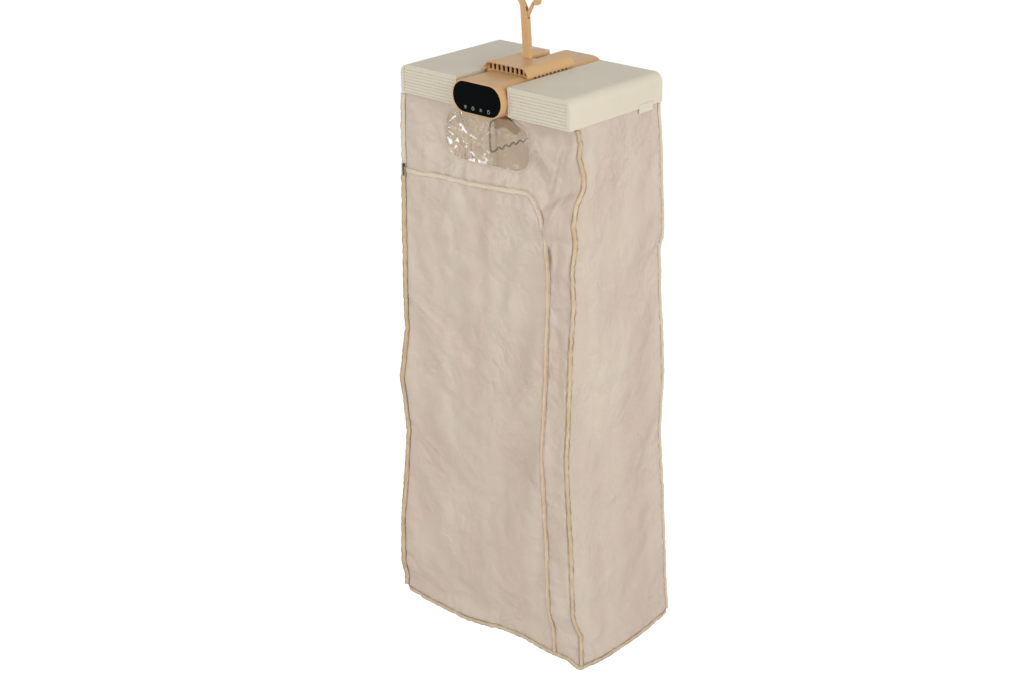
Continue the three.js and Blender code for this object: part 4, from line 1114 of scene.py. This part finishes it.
@dataclass
class Tape:
    """A flat or folded tape that follows a line of the bag, as a closed swept section."""

    width: float
    thickness: float
    welt: float = 0.0  # how far its two edges stand above its middle
    pucker: float = 0.0007

    def section(self) -> list[tuple[float, float]]:
        """Returns the section's points: across the tape, and out from the cloth."""
        half, deep = self.width / 2, self.thickness / 2
        crest = deep + self.welt
        side = ((1.0, 0.0), (0.92, crest), (0.58, crest), (0.42, deep))
        top = [(-half * share, out) for share, out in side]
        top += [(half * share, out) for share, out in reversed(side)]
        return top + [(half * 0.92, -deep), (-half * 0.92, -deep)]

    def sweep(self, name: str, line: np.ndarray, across: np.ndarray, out: np.ndarray,
              finish: Finish, seed: float) -> bpy.types.Object:
        """Makes the tape along a line, on the core's body.

        Args:
            name: The piece's name.
            line: The points it follows.
            across: The direction of its width at each point.
            out: The direction away from the cloth at each point.
            finish: Its finish.
            seed: A place in the noise, so that tapes differ.

        Returns:
            The piece.
        """
        section = self.section()
        sides = len(section)
        run = run_along(line)
        bm = bmesh.new()
        uv_layer = bm.loops.layers.uv.new("cloth")
        place = grid_of(bm, len(line) - 1, sides)
        for face in bm.faces:
            for loop in face.loops:
                step, corner = place[loop.vert]
                loop[uv_layer].uv = (run[step], corner / sides * self.width * 2)
        for vert, (step, corner) in place.items():
            a, b = section[corner % sides]
            wobble = noise.noise(Vector((run[step] * 70, seed, 0))) * self.pucker
            ruffle = noise.noise(Vector((run[step] * 110, seed + 5, a * 300))) * self.pucker
            aside = a * (1 + 60 * wobble) + wobble
            vert.co = Vector(line[step] + across[step] * aside + out[step] * (b + ruffle))
        bmesh.ops.remove_doubles(bm, verts=bm.verts[:], dist=1e-7)
        rims = [e for e in bm.edges if e.is_boundary]
        bmesh.ops.holes_fill(bm, edges=rims, sides=sides + 1)
        bmesh.ops.recalc_face_normals(bm, faces=bm.faces[:])
        return new_piece(name, bm, finish)


def run_along(line: np.ndarray) -> np.ndarray:
    """Returns how far along a line each of its points is."""
    return np.concatenate(([0.0], np.cumsum(np.linalg.norm(np.diff(line, axis=0), axis=1))))


def directions(line: np.ndarray, out: np.ndarray) -> tuple[np.ndarray, np.ndarray]:
    """Works out a tape's directions across and out from its line.

    Args:
        line: The points of the line.
        out: A rough outward direction, for all points or for each.

    Returns:
        The directions across the tape and out from it, of length 1.
    """
    along = np.gradient(line, axis=0)
    along /= np.linalg.norm(along, axis=1)[:, None]
    across = np.cross(out, along)
    across /= np.linalg.norm(across, axis=1)[:, None]
    return across, np.cross(along, across)


def evened(line: np.ndarray, spacing: float, blur: int = 0) -> np.ndarray:
    """Returns a line with evenly spaced points, softened a little.

    Args:
        line: The points.
        spacing: The distance between new points.
        blur: How many times the line is softened.

    Returns:
        The new points.
    """
    for _ in range(blur):
        line = np.concatenate((line[:1], (line[:-2] + 2 * line[1:-1] + line[2:]) / 4, line[-1:]))
    run = run_along(line)
    stops = np.linspace(0, run[-1], max(2, int(run[-1] / spacing)))
    return np.stack([np.interp(stops, run, line[:, i]) for i in range(3)], axis=1)


@dataclass(frozen=True)
class Part:
    """What one panel becomes: its name, its half, the CAD node it stands for and its finish."""

    name: str
    right: bool
    node: str = ""
    finish: Finish = Finish.FABRIC
    body: str = "core"


@dataclass
class DryingBag:
    """The fabric bag with its door, window, bindings, bottom and zip."""

    cloth: BagCloth
    keep: float = 0.03  # how flat the cloth is when the wings are folded
    corner_tape: Tape = field(default_factory=lambda: Tape(0.0125, 0.0022, 0.0009, 0.0016))
    pale_tape: Tape = field(default_factory=lambda: Tape(0.0070, 0.0018, 0.0005, 0.0010))
    hem_tape: Tape = field(default_factory=lambda: Tape(0.0120, 0.0040, 0.0, 0.0020))
    knot_tape: Tape = field(default_factory=lambda: Tape(0.0135, 0.0062, 0.0, 0.0010))
    zip_tape: Tape = field(default_factory=lambda: Tape(0.0130, 0.0008, 0.0007, 0.0008))
    window_tape: Tape = field(default_factory=lambda: Tape(0.0045, 0.0012, 0.0, 0.0004))
    seam_step: float = 0.0045  # the distance between a binding's points
    zip_step: float = 0.003  # and between the zip's
    tape_top: float = -0.068  # the corner bindings' upper end, from the wings' top
    zip_stand: float = 0.0022  # how far the zip stands out from the cloth
    hem_drop: float = 0.0045  # how far the hem's binding reaches below the cloth
    parts: dict[Panel, Part] = field(default_factory=lambda: {
        Panel.SURROUND_LEFT: Part("bag_front_left", False, "bag_front_surround"),
        Panel.SURROUND_RIGHT: Part("bag_front_right", True),
        Panel.WINDOW_LEFT: Part("window_film_left", False, "bag_window", Finish.FILM),
        Panel.WINDOW_RIGHT: Part("window_film_right", True, finish=Finish.FILM),
        Panel.DOOR_LEFT: Part("door_left_half", False, "bag_door", body="door"),
        Panel.DOOR_RIGHT: Part("door_right_half", True, body="door"),
        Panel.RIGHT_SIDE: Part("bag_side_right", True, "bag_right_side"),
        Panel.BACK_RIGHT: Part("bag_rear_right", True, "bag_back"),
        Panel.BACK_LEFT: Part("bag_rear_left", False),
        Panel.LEFT_SIDE: Part("bag_side_left", False, "bag_left_side"),
        Panel.STRIP_RIGHT: Part("bag_front_strip", True),
    })

    def fold(self, obj: bpy.types.Object, right: bool) -> bpy.types.Object:
        """Gives a piece its own copy of its mesh."""
        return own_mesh(obj)

    def panels(self, mesh: bpy.types.Mesh) -> dict[Panel, bpy.types.Object]:
        """Cuts the settled bag into its panels, with its smooth shading kept over the cuts.

        Args:
            mesh: The settled bag.

        Returns:
            The panels' objects.
        """
        normals = np.zeros(len(mesh.vertices) * 3)
        mesh.vertex_normals.foreach_get("vector", normals)
        normals = normals.reshape(-1, 3)
        made = {}
        for panel, part in self.parts.items():
            bm = bmesh.new()
            bm.from_mesh(mesh)
            origin = bm.verts.layers.int.new("origin")
            bm.verts.ensure_lookup_table()
            for index, vert in enumerate(bm.verts):
                vert[origin] = index
            layer = bm.faces.layers.int["panel"]
            others = [f for f in bm.faces if f[layer] != panel]
            bmesh.ops.delete(bm, geom=others, context="FACES")
            order = [v[origin] for v in bm.verts]
            obj = new_piece(part.name, bm, part.finish, part.body)
            obj.vertex_groups.clear()
            obj.data.normals_split_custom_set_from_vertices(normals[order].tolist())
            made[panel] = obj
        return made

    def border(self, first: bpy.types.Object, second: bpy.types.Object, axis: int = 0,
               way: int = 1) -> np.ndarray:
        """Finds the points that two panels share.

        Args:
            first: One panel.
            second: The other.
            axis: The axis along which the points are put in order.
            way: 1 to go up the axis, -1 to go down.

        Returns:
            The shared points.
        """
        own = {tuple(np.round(v.co, 6)) for v in first.data.vertices}
        shared = np.array([v.co[:] for v in second.data.vertices if tuple(np.round(v.co, 6)) in own], float)
        return shared[np.argsort(way * shared[:, axis])]

    def build(self) -> None:
        """Builds the whole bag."""
        mesh = self.cloth.hung()
        made = self.panels(mesh)
        for panel, part in self.parts.items():
            if part.node:
                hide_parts(part.node)
        self.corner_seams(made)
        self.zip(made)
        self.window_edge(made)
        self.bottom(made)
        for panel, obj in made.items():
            self.fold(obj, self.parts[panel].right)
        bpy.data.meshes.remove(mesh)

    def corner_seams(self, made: dict[Panel, bpy.types.Object]) -> None:
        """Makes the bound fins that stand out along the four corner seams."""
        front, pale = self.corner_tape, self.pale_tape
        # The panels that meet at each corner, its place, how far its fin leans, its tape and finish
        corners = (
            ("front_right", (Panel.SURROUND_RIGHT, Panel.STRIP_RIGHT), Panel.RIGHT_SIDE, (1, -1), 72, front,
             Finish.BINDING),
            ("rear_right", (Panel.RIGHT_SIDE,), Panel.BACK_RIGHT, (1, 1), 8, pale, Finish.PALE_BINDING),
            ("rear_left", (Panel.BACK_LEFT,), Panel.LEFT_SIDE, (-1, 1), 0, pale, Finish.PALE_BINDING),
            ("front_left", (Panel.DOOR_LEFT, Panel.SURROUND_LEFT), Panel.LEFT_SIDE, (-1, -1), -12, front,
             Finish.LEFT_BINDING),
        )
        for index, (label, ones, other, way, lean, tape, finish) in enumerate(corners):
            points = np.concatenate([self.border(made[one], made[other]) for one in ones])
            points = points[np.argsort(-points[:, 2])]
            points = evened(points[points[:, 2] < DECK.z + self.tape_top], self.seam_step)
            across, outward = directions(points, np.array((*way, 0.0)) / math.sqrt(2))
            wobble = np.array([noise.noise(Vector((0.0, index, z * 9))) for z in points[:, 2]])
            angle = np.radians(lean + 40 * wobble)[:, None]
            fin = outward * np.cos(angle) + across * np.sin(angle)
            face = across * np.cos(angle) - outward * np.sin(angle)
            line = points + outward * 0.0012 + fin * tape.width * 0.38
            obj = tape.sweep(f"seam_{label}", line, fin, face, finish, 3.0 * index)
            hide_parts(f"{label}_binding")
            self.fold(obj, way[0] > 0)

    def zip(self, made: dict[Panel, bpy.types.Object]) -> None:
        """Makes the zip: along the door's top, round its corner and down its right edge."""
        whole = np.concatenate((
            self.border(made[Panel.DOOR_LEFT], made[Panel.SURROUND_LEFT]),
            self.border(made[Panel.DOOR_RIGHT], made[Panel.SURROUND_RIGHT]),
            self.border(made[Panel.DOOR_RIGHT], made[Panel.STRIP_RIGHT], 2, -1),
        ))
        apart = np.concatenate(([True], np.linalg.norm(np.diff(whole, axis=0), axis=1) > 1e-4))
        whole = evened(whole[apart], self.zip_step, 2)
        across, outward = directions(whole, FORWARD)
        line = whole + outward * self.zip_stand
        split = int(np.argmax(whole[:, 0] > DECK.x))
        for label, part, node in (
            ("left", slice(0, split + 1), "zip_track_top"), ("right", slice(split, None), "zip_track_side"),
        ):
            obj = self.zip_tape.sweep(
                f"zip_run_{label}", line[part], across[part], outward[part], Finish.ZIP, 20.0,
            )
            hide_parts(node)
            self.fold(obj, label == "right")

    def window_edge(self, made: dict[Panel, bpy.types.Object]) -> None:
        """Makes the narrow welt round the window."""
        for label, film, cloth_panel in (
            ("left", Panel.WINDOW_LEFT, Panel.SURROUND_LEFT),
            ("right", Panel.WINDOW_RIGHT, Panel.SURROUND_RIGHT),
        ):
            points = self.border(made[film], made[cloth_panel])
            middle = DECK.z + self.cloth.form.notch - 0.06
            angle = np.arctan2(points[:, 0] - DECK.x, points[:, 2] - middle)
            line = evened(points[np.argsort(np.abs(angle))], self.zip_step, 2)
            across, outward = directions(line, FORWARD)
            obj = self.window_tape.sweep(
                f"window_welt_{label}", line + outward * 0.0008, across, outward, Finish.FABRIC, 31.0,
            )
            self.fold(obj, label == "right")

    def foot_line(self, made: dict[Panel, bpy.types.Object], right: bool) -> np.ndarray:
        """Collects the lower edge of one half of the bag, from the front's middle round to the back's.

        Args:
            made: The panels.
            right: True for the right half.

        Returns:
            The points in order.
        """
        chosen = (
            (Panel.DOOR_RIGHT, Panel.STRIP_RIGHT, Panel.RIGHT_SIDE, Panel.BACK_RIGHT) if right
            else (Panel.DOOR_LEFT, Panel.LEFT_SIDE, Panel.BACK_LEFT)
        )
        sign = 1 if right else -1
        low = DECK.z + self.cloth.form.foot + 0.024
        points = []
        for panel in chosen:
            bm = bmesh.new()
            bm.from_mesh(made[panel].data)
            for edge in bm.edges:
                if edge.is_boundary and all(v.co.z < low for v in edge.verts):
                    if abs(edge.verts[0].co.z - edge.verts[1].co.z) < 0.6 * edge.calc_length():
                        points += [tuple(np.round(v.co, 6)) for v in edge.verts]
            bm.free()
        spot = np.array(sorted(set(points)), float)
        angle = np.arctan2(sign * (spot[:, 0] - DECK.x), -(spot[:, 1] - DECK.y))
        angle[angle < -math.pi / 2] += 2 * math.pi  # the back's middle comes last
        return spot[np.argsort(angle)]

    def bottom(self, made: dict[Panel, bpy.types.Object]) -> None:
        """Makes the bag's bottom and the binding round it."""
        form = self.cloth.form
        for is_right, label in ((True, "right"), (False, "left")):
            line = self.foot_line(made, is_right)
            self.bottom_half(line, is_right, label)
            lap = (line[:1] * 1.5 - line[1:2] * 0.5, line, line[-1:] * 1.5 - line[-2:-1] * 0.5)
            even = evened(np.concatenate(lap), self.seam_step, 1)
            # Outwards is square to each side, and turns quickly at the corners
            scaled = (even[:, :2] - np.array((DECK.x, DECK.y))) / np.array((form.foot_x, form.foot_y))
            power = np.sign(scaled) * np.abs(scaled) ** 7
            outs = np.zeros_like(even)
            outs[:, :2] = power / np.maximum(np.linalg.norm(power, axis=1), 1e-9)[:, None]
            across, outward = directions(even, outs)
            even = even + np.array((0.0, 0.0, -self.hem_drop))
            obj = self.hem_tape.sweep(
                f"hem_binding_{label}", even + outward * 0.0004, across, outward, Finish.BINDING,
                44.0 + is_right,
            )
            if is_right:
                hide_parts("bottom_binding")
                knot = evened(even[:3], 0.0015)
                ways = [np.repeat(d[:1], len(knot), axis=0) for d in (across, outward)]
                self.knot_tape.sweep("hem_knot", knot, *ways, Finish.ZIP, 50.0)
            self.fold(obj, is_right)

    def bottom_half(self, line: np.ndarray, is_right: bool, label: str) -> None:
        """Makes one half of the bottom panel inside the lower edge.

        Args:
            line: The half's lower edge.
            is_right: True for the right half.
            label: The half's name.
        """
        sign = 1 if is_right else -1
        bm = bmesh.new()
        uv_layer = bm.loops.layers.uv.new("cloth")
        grid = bmesh.ops.create_grid(bm, x_segments=24, y_segments=28, size=0.5)["verts"]
        run, end = run_along(line), len(line) - 1
        front_turn, rear_turn = (int(np.argmax(sign * line[:, 0] + way * line[:, 1])) for way in (-1, 1))

        def on_edge(first: int, last: int, share: float) -> np.ndarray:
            """Returns a point of the edge between two of its points."""
            spot = run[first] + (run[last] - run[first]) * share
            return np.array([np.interp(spot, run, line[:, i]) for i in range(3)])

        for vert in grid:
            s, t = vert.co.x + 0.5, vert.co.y + 0.5
            front, back = on_edge(0, front_turn, s), on_edge(end, rear_turn, s)
            side, fold_line = on_edge(front_turn, rear_turn, t), line[0] + (line[end] - line[0]) * t
            corners = (
                line[0] * (1 - s) * (1 - t) + line[front_turn] * s * (1 - t)
                + line[end] * (1 - s) * t + line[rear_turn] * s * t
            )
            point = front * (1 - t) + back * t + side * s + fold_line * (1 - s) - corners
            open_cloth = math.sin(math.pi * t) * (1 - s * s)
            ripple = noise.noise(Vector((point[0] * 14, point[1] * 14, 3.0)))
            point[2] -= (0.010 + 0.003 * ripple) * open_cloth
            vert.co = Vector(point)
        for face in bm.faces:
            for loop in face.loops:
                loop[uv_layer].uv = (loop.vert.co.x, loop.vert.co.y)
        face_away(bm, 2)
        obj = new_piece(f"bag_floor_{label}", bm, Finish.FABRIC)
        if is_right:
            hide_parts("bag_bottom")
        self.fold(obj, is_right)


# ------------------------------------------------------------------------------- touch keys
@dataclass
class TouchKeys:
    """The four printed key symbols on the lens: plain signs for fan, time, heat and power."""

    pitch: float = 0.0238
    size: float = 0.0086
    height: float = -0.0598
    line: float = 0.0009

    def ring(self, bm: bmesh.types.BMesh, centre: tuple[float, float], radius: float) -> None:
        """Adds a printed ring."""
        outer = bmesh.ops.create_circle(bm, segments=28, radius=radius)["verts"]
        inner = bmesh.ops.create_circle(bm, segments=28, radius=radius - self.line)["verts"]
        edges = {e for v in outer + inner for e in v.link_edges}
        bmesh.ops.bridge_loops(bm, edges=list(edges))
        bmesh.ops.translate(bm, verts=outer + inner, vec=(centre[0], centre[1], 0))

    def stroke(self, bm: bmesh.types.BMesh, start: tuple[float, float], end: tuple[float, float]) -> None:
        """Adds a printed straight stroke."""
        first, last = Vector((*start, 0)), Vector((*end, 0))
        along = last - first
        side = Vector((-along.y, along.x, 0)).normalized() * self.line / 2
        grid = bmesh.ops.create_grid(bm, x_segments=1, y_segments=1, size=0.5)["verts"]
        for vert in grid:
            vert.co = first + along * (vert.co.x + 0.5) + side * (2 * vert.co.y)

    def sign(self, bm: bmesh.types.BMesh, index: int) -> None:
        """Draws one key's sign round the origin.

        Args:
            bm: The key's mesh.
            index: 0 for the fan, 1 for time, 2 for heat, 3 for power.
        """
        r = self.size / 2
        if index == 0:
            for turn in range(3):
                angle = turn * 2 * math.pi / 3 + 0.5
                self.ring(bm, (0.45 * r * math.cos(angle), 0.45 * r * math.sin(angle)), r * 0.48)
        elif index == 2:
            for shift in (-0.6, 0, 0.6):
                self.stroke(bm, (shift * r, -r * 0.8), (shift * r + 0.2 * r, 0))
                self.stroke(bm, (shift * r + 0.2 * r, 0), (shift * r, r * 0.8))
        else:
            self.ring(bm, (0, 0), r)
            if index == 1:
                self.stroke(bm, (0, 0), (0, r * 0.7))
                self.stroke(bm, (0, 0), (r * 0.5, 0))
            else:
                self.stroke(bm, (0, r * 0.2), (0, r * 1.15))

    def build(self) -> None:
        """Prints the four keys, a hair in front of the lens."""
        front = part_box("panel_lens")[0].y - 0.00012
        for index in range(4):
            bm = bmesh.new()
            self.sign(bm, index)
            x = (index - 1.5) * self.pitch
            for vert in bm.verts:
                vert.co = Vector((DECK.x + x + vert.co.x, front, DECK.z + self.height + vert.co.y))
            face_away(bm, 1)
            new_piece(f"touch_key_{index + 1}", bm, Finish.PRINT)


# ------------------------------------------------------------------------------- studio
@dataclass
class Studio:
    """The camera at the photograph's angle, soft lights, a pale floor and a white world."""

    azimuth: float = math.radians(43.67)
    elevation: float = math.radians(23.33)
    distance: float = 4.18765
    target: tuple[float, float, float] = (-0.0785, 0.0, -0.6949)
    roll: float = math.radians(-1.19)
    lens: float = 60.087
    floor_drop: float = 0.42
    world_light: float = 0.55
    lamps: tuple[tuple[str, tuple[float, float, float], float, float], ...] = (
        ("key", (3.2, -0.9, 0.6), 1.4, 70), ("front", (-0.9, -3.4, 0.3), 1.9, 32),
        ("top", (0.6, -0.6, 2.6), 1.8, 4), ("glint", (-1.9, -2.1, -0.1), 0.3, 7),
    )

    def camera(self) -> None:
        """Makes the camera."""
        back = Vector((
            math.sin(self.azimuth) * math.cos(self.elevation),
            -math.cos(self.azimuth) * math.cos(self.elevation), math.sin(self.elevation),
        ))
        data = bpy.data.cameras.new("camera")
        data.lens = self.lens
        data.sensor_width = 36
        data.clip_end = 50
        camera = scene_object("camera", data)
        right = (-back).cross(Vector((0, 0, 1))).normalized()
        up = right.cross(-back)
        turned_right = right * math.cos(self.roll) + up * math.sin(self.roll)
        turned_up = -right * math.sin(self.roll) + up * math.cos(self.roll)
        axes = Matrix((turned_right, turned_up, back)).transposed()
        place = Vector(self.target) + DECK + back * self.distance
        camera.matrix_world = Matrix.Translation(place) @ axes.to_4x4()
        bpy.context.scene.camera = camera

    def lamp(self, name: str, place: tuple[float, float, float], size: float, power: float) -> None:
        """Adds a soft square lamp that looks at the dryer's middle."""
        data = bpy.data.lights.new(name, "AREA")
        data.energy = power
        data.size = size
        lamp = scene_object(name, data)
        lamp.location = Vector(place)
        lamp.rotation_euler = (Vector((0, 0, -0.75)) - lamp.location).to_track_quat("-Z", "Y").to_euler()

    def world(self) -> None:
        """Makes the world: white where it is seen, softer where it lights."""
        world = bpy.data.worlds.new("studio")
        bpy.context.scene.world = world
        board = NodeBoard(world)
        rays = board.add("LightPath").outputs
        seen = board.math("MAXIMUM", rays["Is Camera Ray"], rays["Is Glossy Ray"])
        seen = board.math("MAXIMUM", seen, rays["Is Transmission Ray"])
        strength = board.spread(seen, 0.0, 1.0, self.world_light, 1.0)
        board.finish(board.add("Background", Color=(1, 1, 1, 1), Strength=strength).outputs[0])

    def floor(self) -> None:
        """Makes the pale floor well below the hanging bag."""
        bm = bmesh.new()
        bmesh.ops.create_grid(bm, x_segments=1, y_segments=1, size=14)
        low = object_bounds()[0].z - self.floor_drop
        bmesh.ops.translate(bm, verts=bm.verts[:], vec=(0, 0, low))
        floor = scene_object("floor", mesh_from("floor", bm))
        board = NodeBoard(bpy.data.materials.new("studio floor"))
        matt = board.add("BsdfDiffuse", Color=(0.9, 0.9, 0.9, 1)).outputs[0]
        glow = board.add("Emission", Strength=1.25).outputs[0]
        seen = board.product(board.add("LightPath").outputs["Is Camera Ray"], 0.72)
        floor.data.materials.append(board.finish(board.mixed(seen, matt, glow)))
        floor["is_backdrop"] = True

    def build(self) -> None:
        """Builds the studio."""
        bpy.context.scene.view_settings.view_transform = "Standard"
        self.camera()
        self.world()
        self.floor()
        for lamp in self.lamps:
            self.lamp(*lamp)


def main() -> None:
    """Builds the dressed dryer and its studio."""
    logging.basicConfig(level=logging.INFO, format="%(relativeCreated)d ms: %(message)s")
    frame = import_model()
    RigidPieces(frame["nodes"]).dress()
    DryingBag(BagCloth(BagForm())).build()
    TouchKeys().build()
    Studio().build()


if __name__ == "__main__":
    main()
